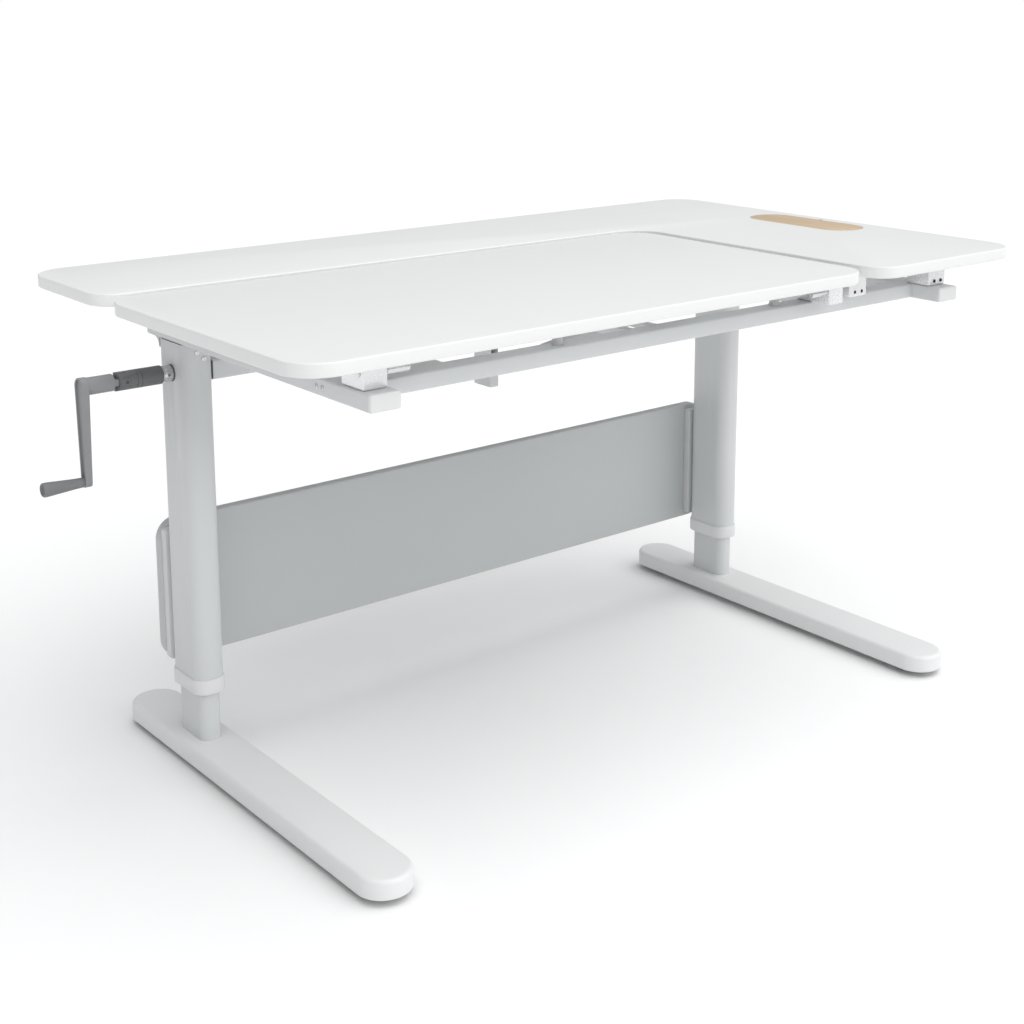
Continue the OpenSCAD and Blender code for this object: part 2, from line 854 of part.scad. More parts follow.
// Bevel gear on +Z with its cone's tip at the origin; turn sets where its teeth stand
module bevel_gear(bore, turn) {
    tooth_t = 1.5;
    above = 1.1/sqrt(2);
    below = 1.4/sqrt(2);
    deep = 2.2/sqrt(2);
    difference() {
        union() {
            rotate_extrude() polygon([
                [0, gear_inner_r + below], [gear_inner_r - below, gear_inner_r + below],
                [gear_r - below, gear_r + below], [gear_r - below, gear_back], [0, gear_back]
            ]);
            for (i = [0 : gear_teeth - 1])
                rotate([0, 0, turn + i*360/gear_teeth]) rotate([90, 0, 0])
                    linear_extrude(tooth_t, center = true) polygon([
                        [gear_inner_r + above, gear_inner_r - above],
                        [gear_r + above, gear_r - above],
                        [gear_r - deep, gear_r + deep - 0.6],
                        [gear_inner_r - deep, gear_inner_r + deep]
                    ]);
        }
        translate([0, 0, -cut]) cylinder(h = gear_back + 2*cut, d = bore);
    }
}

module drive_gears() {
    color("darkgray") at_desk() for (x = [left_x, right_x])
        translate([x, column_y, shaft_z]) rotate([0, 90, 0]) bevel_gear(shaft_d + 2*weld, 0);
}

module spindle_gear(x) {
    at_desk() translate([x, column_y, shaft_z]) rotate([180, 0, 0])
        bevel_gear(journal_d + 2*weld, 180/gear_teeth);
}

module left_spindle_gear() { color("darkgray") spindle_gear(left_x); }
module right_spindle_gear() { color("darkgray") spindle_gear(right_x); }

module spindle(x) {
    journal_top = shaft_z - gear_inner_r - 1.5;
    screw_top = shaft_z - housing_down - 1;
    at_desk() translate([x, column_y, 0]) {
        translate([0, 0, spindle_z]) cylinder(h = screw_top - spindle_z, d = spindle_d);
        translate([0, 0, spindle_z]) cylinder(h = journal_top - spindle_z, d = journal_d);
    }
}

module left_spindle() { color("silver") spindle(left_x); }
module right_spindle() { color("silver") spindle(right_x); }

// ---- crank ----

module crank_socket() {
    color("silver") at_desk() difference() {
        rod_x(-sleeve_out, -crank_out, column_y, shaft_z, crank_d - 3);
        rod_x(-sleeve_out + 2 - weld, -crank_out + cut, column_y, shaft_z, shaft_d + 2*weld);
        rod_y(-crank_out - socket_l/2, column_y - crank_d, column_y, shaft_z, 4);
    }
}

module crank_sleeve() {
    color("dimgray") at_desk() rod_x(-fork_out, -sleeve_out, column_y, shaft_z, crank_d);
}

// Fork with cheeks above and below the tongue
module knuckle_fork() {
    color("dimgray") at_desk() difference() {
        intersection() {
            rod_x(-fork_out - fork_l, -fork_out, column_y, shaft_z, crank_d);
            union() {
                translate([-knuckle_out, column_y, shaft_z - crank_d])
                    cylinder(h = 2*crank_d, r = knuckle_r);
                block(
                    [-knuckle_out, column_y - crank_d, shaft_z - crank_d],
                    [-fork_out + cut, column_y + crank_d, shaft_z + crank_d]
                );
            }
        }
        block(
            [-fork_out - fork_l - cut, column_y - crank_d, shaft_z - tongue_t/2 - slip],
            [-knuckle_out + knuckle_r + 0.5, column_y + crank_d, shaft_z + tongue_t/2 + slip]
        );
        translate([-knuckle_out, column_y, shaft_z - crank_d])
            cylinder(h = 2*crank_d, d = hinge_pin_d + 2*weld);
    }
}

module knuckle_pin() {
    pin_h = crank_d - 4;
    color("silver") at_desk() translate([-knuckle_out, column_y, shaft_z - pin_h/2])
        cylinder(h = pin_h, d = hinge_pin_d);
}

// Tube with a flat tongue that turns on the knuckle pin
module crank_tube() {
    color("darkgray") at_desk() difference() {
        union() {
            translate([-knuckle_out, column_y, shaft_z - tongue_t/2])
                cylinder(h = tongue_t, r = knuckle_r - 1);
            block(
                [-tube_out - cut, column_y - 7, shaft_z - tongue_t/2],
                [-knuckle_out, column_y + 7, shaft_z + tongue_t/2]
            );
            rod_x(-arm_out, -tube_out, column_y, shaft_z, crank_tube_d);
        }
        translate([-knuckle_out, column_y, shaft_z - crank_d])
            cylinder(h = 2*crank_d, d = hinge_pin_d + 2*fit);
    }
}

arm_top_r = 12;
arm_low_r = 7;

// Flat arm, wide at the axis and narrow at the grip, with a sunk face
module arm_outline(inset) {
    circle(arm_top_r - inset);
    translate([0, -crank_r]) circle(arm_low_r - inset);
    polygon([
        [-arm_top_r + inset, 0], [-arm_low_r + inset, -crank_r],
        [arm_low_r - inset, -crank_r], [arm_top_r - inset, 0]
    ]);
}

module crank_arm() {
    color("darkgray") at_desk() translate([-grip_out, column_y, shaft_z])
        rotate([90, 0, 90]) difference() {
            linear_extrude(arm_plate_t) arm_outline(0);
            difference() {
                translate([0, 0, -cut]) linear_extrude(2.5 + cut) arm_outline(2.5);
                translate([0, -crank_r, -2*cut]) cylinder(h = 4*cut + 2.5, r = arm_low_r);
            }
            translate([0, -crank_r, -2*cut]) cylinder(h = arm_plate_t, d = 5 + 2*weld);
        }
}

module grip_pin() {
    color("silver") at_desk()
        rod_x(-grip_out - grip_l + 8, -grip_out + arm_plate_t - 2*cut, column_y, shaft_z - crank_r, 5);
}

// Grip that swells towards its outer end, which is dished
module crank_grip() {
    neck_r = 6.2;
    end_r = 9;
    dish = 4;
    color("gray") at_desk() translate([-grip_out - slip, column_y, shaft_z - crank_r])
        rotate([0, -90, 0]) rotate_extrude() polygon([
            [2.5 + fit, 0], [neck_r, 0], [neck_r + 0.6, grip_l*0.3], [end_r - 0.6, grip_l*0.7],
            [end_r, grip_l - 2*dish], [end_r - 0.6, grip_l - slip], [end_r - 3, grip_l - slip],
            [end_r - 4, grip_l - slip - dish], [2.5 + fit, grip_l - slip - dish]
        ]);
}

// ---- strut ----

// Frame that runs along the strut from its lower pivot
module along_strut() {
    at_desk() translate([0, column_y, pivot_z]) rotate([90 - strut_angle, 0, 0]) children();
}

rod_l = strut_l - 26;
cylinder_end = strut_l - eye_d;

module strut_rod() {
    color("silver") along_strut() difference() {
        union() {
            rod_x(-eye_w/2, eye_w/2, 0, 0, eye_d);
            cylinder(h = rod_l, d = rod_d);
            translate([0, 0, rod_l - piston_l])
                cylinder(h = piston_l, d = cylinder_d - 2*cylinder_wall - 2*slip);
        }
        rod_x(-eye_w, eye_w, 0, 0, strut_pin_d + 2*fit);
    }
}

module strut_cylinder() {
    start = cylinder_end - cylinder_l;
    color("dimgray") along_strut() difference() {
        union() {
            translate([0, 0, start]) cylinder(h = cylinder_l, d = cylinder_d);
            translate([0, 0, cylinder_end - cut]) cylinder(h = eye_d/2 + cut, d = rod_d);
            rod_x(-eye_w/2, eye_w/2, 0, strut_l, open_eye_d + 6);
        }
        translate([0, 0, start + gland_l])
            cylinder(h = cylinder_l - gland_l - 6, d = cylinder_d - 2*cylinder_wall);
        translate([0, 0, start - cut]) cylinder(h = gland_l + 2*cut, d = rod_d + 2*fit);
        rod_x(-eye_w, eye_w, 0, strut_l, open_eye_d);
    }
}

// Folded bracket under the panel with its pin
module strut_upper_bracket() {
    ear_t = 2.5;
    inside = eye_w/2 + 1.5;
    color("gainsboro") at_desk() {
        difference() {
            union() {
                block([-inside - ear_t, upper_y - 16, panel_under - ear_t],
                    [inside + ear_t, upper_y + 24, panel_under]);
                for (s = [-1, 1]) translate([s*(inside + ear_t/2), 0, 0]) {
                    block([-ear_t/2, upper_y - 8, upper_z], [ear_t/2, upper_y + 8, panel_under - cut]);
                    rod_x(-ear_t/2, ear_t/2, upper_y, upper_z, 16);
                }
            }
            rod_x(-inside - 2*ear_t, inside + 2*ear_t, upper_y, upper_z, strut_pin_d - 1);
        }
        rod_x(-inside - ear_t, inside + ear_t, upper_y, upper_z, strut_pin_d - 1 + weld);
    }
}

// ---- drawing ----

left_foot();
left_inner_tube();
left_upper_glide();
left_spindle_nut();
right_foot();
right_inner_tube();
right_upper_glide();
right_spindle_nut();
left_front_pad();
left_rear_pad();
right_front_pad();
right_rear_pad();
left_outer_tube();
right_outer_tube();
column_collars();
lower_glides();
left_arm();
right_arm();
arm_caps();
gussets();
front_beam();
rear_beam();
side_bars();
middle_bar();
shaft_cover();
shaft_cover_collars();
strut_post();
strut_post_pin();
hinge_brackets();
hinge_pins();
top_brackets();
bracket_bolts();
fixed_top();
board_screws();
bumpers();
modesty_panel();
modesty_spacers();
gear_housings();
shaft_bushes();
spindle_bearings();
cross_shaft();
drive_gears();
crank_socket();
crank_sleeve();
knuckle_fork();
knuckle_pin();
crank_tube();
crank_arm();
grip_pin();
crank_grip();
left_spindle();
left_spindle_gear();
right_spindle();
right_spindle_gear();
tilt_panel();
hinge_leaves();
strut_upper_bracket();
strut_rod();
strut_cylinder();
cable_cover();
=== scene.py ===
"""Looks of a crank desk with a tilting front panel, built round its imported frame.

Every finished piece takes its place from the frame's own boxes, in metres, with +X to the
sitter's right, +Y to the back and +Z up.
"""

import json
import logging
import math
from contextlib import contextmanager
from dataclasses import dataclass
from enum import Enum
from typing import Callable, Iterator, Sequence

import bmesh
import bpy
from mathutils import Matrix, Vector


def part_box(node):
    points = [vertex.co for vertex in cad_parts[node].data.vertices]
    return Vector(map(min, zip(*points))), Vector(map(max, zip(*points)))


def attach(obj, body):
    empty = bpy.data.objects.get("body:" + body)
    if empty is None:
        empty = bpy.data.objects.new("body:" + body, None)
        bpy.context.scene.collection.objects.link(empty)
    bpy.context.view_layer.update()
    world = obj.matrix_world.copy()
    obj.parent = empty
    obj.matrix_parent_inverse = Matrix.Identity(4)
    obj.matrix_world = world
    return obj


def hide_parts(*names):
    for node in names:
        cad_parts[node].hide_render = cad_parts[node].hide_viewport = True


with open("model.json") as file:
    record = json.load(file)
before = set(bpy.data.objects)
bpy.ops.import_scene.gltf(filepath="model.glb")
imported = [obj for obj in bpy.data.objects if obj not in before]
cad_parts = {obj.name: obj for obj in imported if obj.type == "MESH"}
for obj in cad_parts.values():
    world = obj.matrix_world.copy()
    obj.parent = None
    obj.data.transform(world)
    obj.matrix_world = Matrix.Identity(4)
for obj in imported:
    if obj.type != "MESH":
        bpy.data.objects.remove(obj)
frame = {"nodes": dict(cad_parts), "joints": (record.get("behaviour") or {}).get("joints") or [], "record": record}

MM = 0.001
SMOOTH_ANGLE = math.radians(32)
RIM_ANGLE = math.radians(50)
MERGE = 2e-6
NEAR = 0.1 * MM
SHAFT_WAY_R = 7.05 * MM
PIN_WAY_R = 3.05 * MM

log = logging.getLogger("desk")

X, Y, Z = 0, 1, 2
SIDES = ("left", "right")
WHITE = (1.0, 1.0, 1.0, 1.0)
Test = Callable[[Vector, Vector], bool]


# ---- places taken from the frame ----


@dataclass(frozen=True)
class Span:
    """A box between two corners, in the row frame."""

    low: Vector
    high: Vector

    @property
    def middle(self) -> Vector:
        """The box's centre."""
        return (self.low + self.high) / 2

    @property
    def size(self) -> Vector:
        """The box's width, depth and height."""
        return self.high - self.low

    def grown(self, dx: float = 0.0, dy: float = 0.0, dz: float = 0.0) -> "Span":
        """The same box, with each pair of faces moved apart by twice the given distance."""
        by = Vector((dx, dy, dz))
        return Span(self.low - by, self.high + by)

    def at(
        self, x: float | None = None, y: float | None = None, z: float | None = None
    ) -> Vector:
        """The box's centre, with each coordinate that is given in place of its own."""
        return Vector([m if g is None else g for m, g in zip(self.middle, (x, y, z))])


def span_of(node: str) -> Span:
    """The box that one frame node fills."""
    return Span(*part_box(node))


def solids_of(node: str) -> list[Span]:
    """The separate solids of a frame node, each as its box.

    Args:
        node: Name of the frame node.

    Returns:
        One box per connected solid, from left to right, then front to back.
    """
    mesh = frame["nodes"][node].data
    owner: dict[tuple[int, int, int], int] = {}
    key = [tuple(round(c * 1e6) for c in v.co) for v in mesh.vertices]
    place = [owner.setdefault(k, i) for i, k in enumerate(key)]
    root = list(range(len(key)))

    def top(i: int) -> int:
        while root[i] != i:
            root[i] = root[root[i]]
            i = root[i]
        return i

    for face in mesh.polygons:
        first = top(place[face.vertices[0]])
        for v in face.vertices[1:]:
            root[top(place[v])] = first
    groups: dict[int, list[Vector]] = {}
    for i, v in enumerate(mesh.vertices):
        groups.setdefault(top(place[i]), []).append(v.co)
    found = []
    for points in groups.values():
        low = Vector([min(p[a] for p in points) for a in (X, Y, Z)])
        high = Vector([max(p[a] for p in points) for a in (X, Y, Z)])
        found.append(Span(low, high))
    return sorted(found, key=lambda s: (round(s.middle.x, 3), round(s.middle.y, 3), s.middle.z))


def joint_named(name: str) -> dict:
    """The record of one joint."""
    return next(j for j in frame["joints"] if j["name"] == name)


BODY_OF = {
    node: body
    for body, nodes in frame["record"]["behaviour"]["bodies"].items()
    for node in nodes
}
SLOT_OF = {p["node"]: p["material_slot"] for p in frame["record"]["subparts"]}


# ---- modelling bench ----


def release() -> None:
    """Leaves edit mode and deselects everything."""
    if bpy.context.object is not None and bpy.context.object.mode != "OBJECT":
        bpy.ops.object.mode_set(mode="OBJECT")
    bpy.ops.object.select_all(action="DESELECT")


def take(obj: bpy.types.Object) -> bpy.types.Object:
    """Makes obj the only selected and active object."""
    release()
    obj.select_set(True)
    bpy.context.view_layer.objects.active = obj
    return obj


@contextmanager
def editing(obj: bpy.types.Object, mode: str = "EDGE") -> Iterator[None]:
    """Edit mode on one object.

    Args:
        obj: The mesh object to edit.
        mode: What is selected: VERT, EDGE or FACE.
    """
    take(obj)
    bpy.ops.object.mode_set(mode="EDIT")
    bpy.ops.mesh.select_mode(type=mode)
    yield
    bpy.ops.object.mode_set(mode="OBJECT")


def settle(obj: bpy.types.Object) -> bpy.types.Object:
    """Puts obj's place, turn and size into its mesh."""
    take(obj)
    bpy.ops.object.transform_apply(location=True, rotation=True, scale=True)
    return obj


def pick(obj: bpy.types.Object, kind: str, wanted: Callable[..., bool]) -> int:
    """Selects the parts of a mesh that pass a test.

    Args:
        obj: The mesh object, in edit mode.
        kind: Which parts are tried: verts, edges or faces.
        wanted: Says whether one part is selected.

    Returns:
        How many parts were selected.
    """
    bpy.ops.mesh.select_all(action="DESELECT")
    shape = bmesh.from_edit_mesh(obj.data)
    found = [part for part in getattr(shape, kind) if wanted(part)]
    for part in found:
        part.select_set(True)
    bmesh.update_edit_mesh(obj.data)
    return len(found)


def pick_edges(obj: bpy.types.Object, test: Test) -> int:
    """Selects the edges whose two ends pass a test, and says how many they are."""
    return pick(obj, "edges", lambda e: test(e.verts[0].co, e.verts[1].co))


def pick_faces(obj: bpy.types.Object, test: Test) -> int:
    """Selects the faces whose centre and normal pass a test, and says how many they are."""
    return pick(obj, "faces", lambda f: test(f.calc_center_median(), f.normal))


def runs_along(axis: int, where: Test | None = None) -> Test:
    """A test for edges parallel to an axis, and passing a second test if one is given."""

    def test(a: Vector, b: Vector) -> bool:
        step = b - a
        parallel = abs(step[axis]) > 0.999 * step.length > 0
        return parallel and (where is None or where(a, b))

    return test


def faces_along(axis: int, sign: int = 0) -> Test:
    """A test for faces that look along an axis: both ways, or only its + or - way."""

    def test(_: Vector, normal: Vector) -> bool:
        if sign:
            return normal[axis] * sign > 0.999
        return abs(normal[axis]) > 0.999

    return test


def lies_at(axis: int, place: float) -> Test:
    """A test for edges whose two ends both lie at a place on an axis."""
    return lambda a, b: abs(a[axis] - place) < NEAR and abs(b[axis] - place) < NEAR


def block(name: str, span: Span) -> bpy.types.Object:
    """A block that fills a box, as the start of a piece."""
    release()
    bpy.ops.mesh.primitive_cube_add(size=1, location=span.middle)
    obj = bpy.context.object
    obj.name = name
    obj.scale = span.size
    return settle(obj)


def round_edges(
    obj: bpy.types.Object, test: Test, radius: float, segments: int
) -> bpy.types.Object:
    """Rounds the edges that pass a test.

    Args:
        obj: The mesh object.
        test: Which edges are rounded.
        radius: Radius of the rounding.
        segments: Facets across the rounding.
    """
    with editing(obj):
        if pick_edges(obj, test):
            bpy.ops.mesh.bevel(
                offset_type="OFFSET",
                offset=radius,
                segments=segments,
                profile=0.5,
                affect="EDGES",
                clamp_overlap=False,
            )
            bpy.ops.mesh.select_all(action="SELECT")
            bpy.ops.mesh.remove_doubles(threshold=MERGE)
    return obj


def round_upright(
    obj: bpy.types.Object, x: float, y: float, radius: float, segments: int = 16
) -> bpy.types.Object:
    """Rounds the upright edge that stands at a place."""

    def here(a: Vector, _: Vector) -> bool:
        return abs(a.x - x) < 2 * NEAR and abs(a.y - y) < 2 * NEAR

    return round_edges(obj, runs_along(Z, here), radius, segments)


def remove_faces(obj: bpy.types.Object, test: Test) -> bpy.types.Object:
    """Opens a mesh by taking out the faces that pass a test."""
    with editing(obj, "FACE"):
        if pick_faces(obj, test):
            bpy.ops.mesh.delete(type="FACE")
    return obj


def finish_with(obj: bpy.types.Object, kind: str, **settings: object) -> bpy.types.Object:
    """Adds a modifier and applies it.

    Args:
        obj: The mesh object.
        kind: The modifier's type.
        **settings: Its settings.
    """
    take(obj)
    step = obj.modifiers.new(kind.title(), kind)
    for key, value in settings.items():
        setattr(step, key, value)
    bpy.ops.object.modifier_apply(modifier=step.name)
    return obj


def walled(obj: bpy.types.Object, wall: float) -> bpy.types.Object:
    """Gives an open sheet its thickness, inwards."""
    return finish_with(
        obj, "SOLIDIFY", thickness=wall, offset=-1.0, use_even_offset=True
    )


def softened(
    obj: bpy.types.Object, radius: float, segments: int = 2, angle: float = RIM_ANGLE
) -> bpy.types.Object:
    """Rounds every edge sharper than an angle."""
    return finish_with(
        obj,
        "BEVEL",
        width=radius,
        segments=segments,
        limit_method="ANGLE",
        angle_limit=angle,
        use_clamp_overlap=True,
    )


def cut_by(obj: bpy.types.Object, *tools: bpy.types.Object) -> bpy.types.Object:
    """Cuts each tool's shape out of obj and removes the tool."""
    for tool in tools:
        finish_with(obj, "BOOLEAN", operation="DIFFERENCE", solver="EXACT", object=tool)
        bpy.data.objects.remove(tool)
    return obj


def common_with(obj: bpy.types.Object, tool: bpy.types.Object) -> bpy.types.Object:
    """Keeps only what obj shares with the tool, and removes the tool."""
    finish_with(obj, "BOOLEAN", operation="INTERSECT", solver="EXACT", object=tool)
    bpy.data.objects.remove(tool)
    return obj


def moved(obj: bpy.types.Object, matrix: Matrix) -> bpy.types.Object:
    """Moves and turns obj's mesh by a matrix."""
    obj.matrix_world = matrix @ obj.matrix_world
    return settle(obj)


def copied(obj: bpy.types.Object, matrix: Matrix) -> bpy.types.Object:
    """A copy of obj with its own mesh, moved and turned by a matrix."""
    take(obj)
    bpy.ops.object.duplicate(linked=False)
    return moved(bpy.context.object, matrix)


def joined(parts: Sequence[bpy.types.Object]) -> bpy.types.Object:
    """Joins several meshes into the first of them."""
    if len(parts) > 1:
        take(parts[0])
        for part in parts[1:]:
            part.select_set(True)
        bpy.ops.object.join()
    return parts[0]


def standing(place: Vector, direction: Sequence[float]) -> Matrix:
    """The matrix that stands +Z of a shape on a place, looking in a direction."""
    turn = Vector(direction).to_track_quat("Z", "Y").to_matrix().to_4x4()
    return Matrix.Translation(place) @ turn


def turned(
    name: str, profile: Sequence[tuple[float, float]], steps: int = 48
) -> bpy.types.Object:
    """A turned shape about +Z, spun from its outline.

    Args:
        name: Name of the new object.
        profile: Points of the outline, each as radius and height in metres.
        steps: Facets round the axis.

    Returns:
        The closed mesh object.
    """
    release()
    bpy.ops.mesh.primitive_plane_add(size=MM)
    obj = bpy.context.object
    obj.name = name
    with editing(obj, "VERT"):
        bpy.ops.mesh.select_all(action="SELECT")
        bpy.ops.mesh.merge(type="CENTER")
        radius, height = profile[0]
        bpy.ops.transform.translate(value=(radius, 0, height))
        for (r0, z0), (r1, z1) in zip(profile, profile[1:]):
            bpy.ops.mesh.extrude_region_move(
                TRANSFORM_OT_translate={"value": (r1 - r0, 0, z1 - z0)}
            )
        bpy.ops.mesh.select_all(action="SELECT")
        bpy.ops.mesh.spin(
            steps=steps, angle=2 * math.pi, center=(0, 0, 0), axis=(0, 0, 1)
        )
        bpy.ops.mesh.select_all(action="SELECT")
        bpy.ops.mesh.remove_doubles(threshold=MERGE)
        bpy.ops.mesh.normals_make_consistent(inside=False)
    return obj


def rod(name: str, radius: float, start: Vector, end: Vector, edge: float) -> bpy.types.Object:
    """A solid rod between two points, with rounded end edges."""
    length = (end - start).length
    shape = turned(
        name,
        [
            (0, 0),
            (radius - edge, 0),
            (radius - 0.3 * edge, 0.3 * edge),
            (radius, edge),
            (radius, length - edge),
            (radius - 0.3 * edge, length - 0.3 * edge),
            (radius - edge, length),
            (0, length),
        ],
    )
    return moved(shape, standing(start, end - start))


def drill(radius: float, start: Vector, end: Vector) -> bpy.types.Object:
    """A cutting rod between two points."""
    return rod("drill", radius, start, end, 0.1 * MM)


def pill(name: str, span: Span, segments: int = 20) -> bpy.types.Object:
    """A block with fully round ends along Y."""
    shape = block(name, span)
    radius = span.size.x / 2
    round_edges(shape, runs_along(Z), radius * 0.9995, segments)
    with editing(shape, "VERT"):
        bpy.ops.mesh.select_all(action="SELECT")
        bpy.ops.mesh.remove_doubles(threshold=0.1 * MM)
    return shape


def section_tube(
    name: str, span: Span, axis: int, radius: float, wall: float, segments: int = 6
) -> bpy.types.Object:
    """A straight tube of rectangular section with rounded corners.

    Args:
        name: Name of the new object.
        span: The box it fills.
        axis: The axis it runs along.
        radius: Outer corner radius of its section.
        wall: Thickness of its wall.
        segments: Facets across a corner.
    """
    shape = block(name, span)
    round_edges(shape, runs_along(axis), radius, segments)
    remove_faces(shape, faces_along(axis))
    return walled(shape, wall)


def weld_bead(
    name: str, start: Vector, end: Vector, radius: float, ripples: int
) -> bpy.types.Object:
    """A thin weld bead between two points, with a ripple for each pass of the torch."""
    length = (end - start).length
    step = length / ripples
    outline = [(0.0, 0.0)]
    for i in range(ripples):
        outline.append((radius * 0.8, (i + 0.1) * step))
        outline.append((radius, (i + 0.55) * step))
    outline.append((radius * 0.8, length - 0.05 * step))
    outline.append((0.0, length))
    return moved(turned(name, outline, 10), standing(start, end - start))


class Drive(Enum):
    """The recess in a screw's head."""

    HEX = "hex"
    CROSS = "cross"


@dataclass(frozen=True)
class ScrewHead:
    """A domed screw head with a recess, looking along +Z from its seat."""

    diameter: float
    height: float
    drive: Drive

    def make(self) -> bpy.types.Object:
        """Builds the head with its seat at the origin."""
        r, h = self.diameter / 2, self.height
        head = turned(
            "screw_head",
            [(0, 0), (r, 0), (r, 0.35 * h), (0.93 * r, 0.68 * h), (0.7 * r, 0.92 * h),
             (0.45 * r, h), (0, h)],
            32,
        )
        for tool in self._recess(r, h):
            cut_by(head, tool)
        return head

    def placed(self, seat: Vector, direction: Sequence[float]) -> bpy.types.Object:
        """Builds the head on its seat, looking in a direction."""
        return moved(self.make(), standing(seat, direction))

    def _recess(self, r: float, h: float) -> list[bpy.types.Object]:
        """The tools that cut the recess."""
        deep = 0.55 * h
        if self.drive is Drive.HEX:
            release()
            bpy.ops.mesh.primitive_cylinder_add(
                vertices=6, radius=0.52 * r, depth=2 * deep, location=(0, 0, h)
            )
            return [settle(bpy.context.object)]
        arm = Vector((0.56 * r, 0.13 * r, deep))
        other = Vector((arm.y, arm.x, deep))
        top = Vector((0, 0, h))
        return [
            block("slot", Span(top - arm, top + arm)),
            block("slot", Span(top - other, top + other)),
        ]


# ---- shared effects ----


class Sheet:
    """A node tree with short ways to add and link nodes."""

    def __init__(self, tree: bpy.types.NodeTree) -> None:
        """Keeps the tree and empties it."""
        self.tree = tree
        tree.nodes.clear()

    def add(self, kind: str, **inputs: object) -> bpy.types.Node:
        """Adds a node.

        Args:
            kind: The node's type.
            **inputs: Settings of the node, or values and links of its inputs. An underscore
                stands for a space in an input's name.

        Returns:
            The new node.
        """
        node = self.tree.nodes.new(kind)
        late = {}
        for key, value in inputs.items():
            if hasattr(node, key) and key not in ("color", "name"):
                setattr(node, key, value)
            else:
                late[key.replace("_", " ")] = value
        for key, value in late.items():
            socket = node.inputs[int(key[2:])] if key.startswith("n ") else node.inputs[key]
            if isinstance(value, bpy.types.NodeSocket):
                self.tree.links.new(value, socket)
            else:
                socket.default_value = value
        return node

    def place(self) -> bpy.types.NodeSocket:
        """The place on the object, in its own coordinates."""
        return self.add("ShaderNodeTexCoord").outputs["Object"]

    def noise(
        self, place: bpy.types.NodeSocket, scale: object, detail: float, **more: object
    ) -> bpy.types.NodeSocket:
        """The level of a noise texture."""
        node = self.add("ShaderNodeTexNoise", Vector=place, Scale=scale, Detail=detail, **more)
        return node.outputs["Fac"]

    def maths(self, operation: str, *values: object) -> bpy.types.NodeSocket:
        """The result of a sum on single values."""
        inputs = {f"n_{i}": value for i, value in enumerate(values)}
        return self.add("ShaderNodeMath", operation=operation, **inputs).outputs[0]

    def vectors(self, operation: str, *values: object) -> bpy.types.NodeSocket:
        """The result of a sum on vectors."""
        inputs = {f"n_{i}": value for i, value in enumerate(values)}
        return self.add("ShaderNodeVectorMath", operation=operation, **inputs).outputs[0]

    def remap(
        self, value: bpy.types.NodeSocket, low: object, high: float, **to: float
    ) -> bpy.types.NodeSocket:
        """A value stretched from one range to another, 0 to 1 unless it is given."""
        node = self.add("ShaderNodeMapRange", Value=value, From_Min=low, From_Max=high, **to)
        return node.outputs["Result"]

    def mix(
        self, share: bpy.types.NodeSocket, first: object, second: object
    ) -> bpy.types.NodeSocket:
        """Two colours mixed by a share."""
        node = self.add("ShaderNodeMix", data_type="RGBA", n_0=share, n_6=first, n_7=second)
        return node.outputs[2]


def new_group(
    name: str, inputs: Sequence[tuple[str, str, object]], outputs: Sequence[tuple[str, str]]
) -> tuple[Sheet, dict[str, bpy.types.NodeSocket], bpy.types.Node]:
    """Starts a shader node group with named inputs and outputs.

    Args:
        name: The group's name.
        inputs: Name, kind and default value of each input.
        outputs: Name and kind of each output.

    Returns:
        The group's sheet, its input sockets by name and its output node.
    """
    tree = bpy.data.node_groups.new(name, "ShaderNodeTree")
    for title, kind, value in inputs:
        socket = tree.interface.new_socket(title, in_out="INPUT", socket_type="NodeSocket" + kind)
        socket.default_value = value
    for title, kind in outputs:
        tree.interface.new_socket(title, in_out="OUTPUT", socket_type="NodeSocket" + kind)
    sheet = Sheet(tree)
    given = sheet.add("NodeGroupInput").outputs
    return sheet, {title: given[title] for title, *_ in inputs}, sheet.add("NodeGroupOutput")

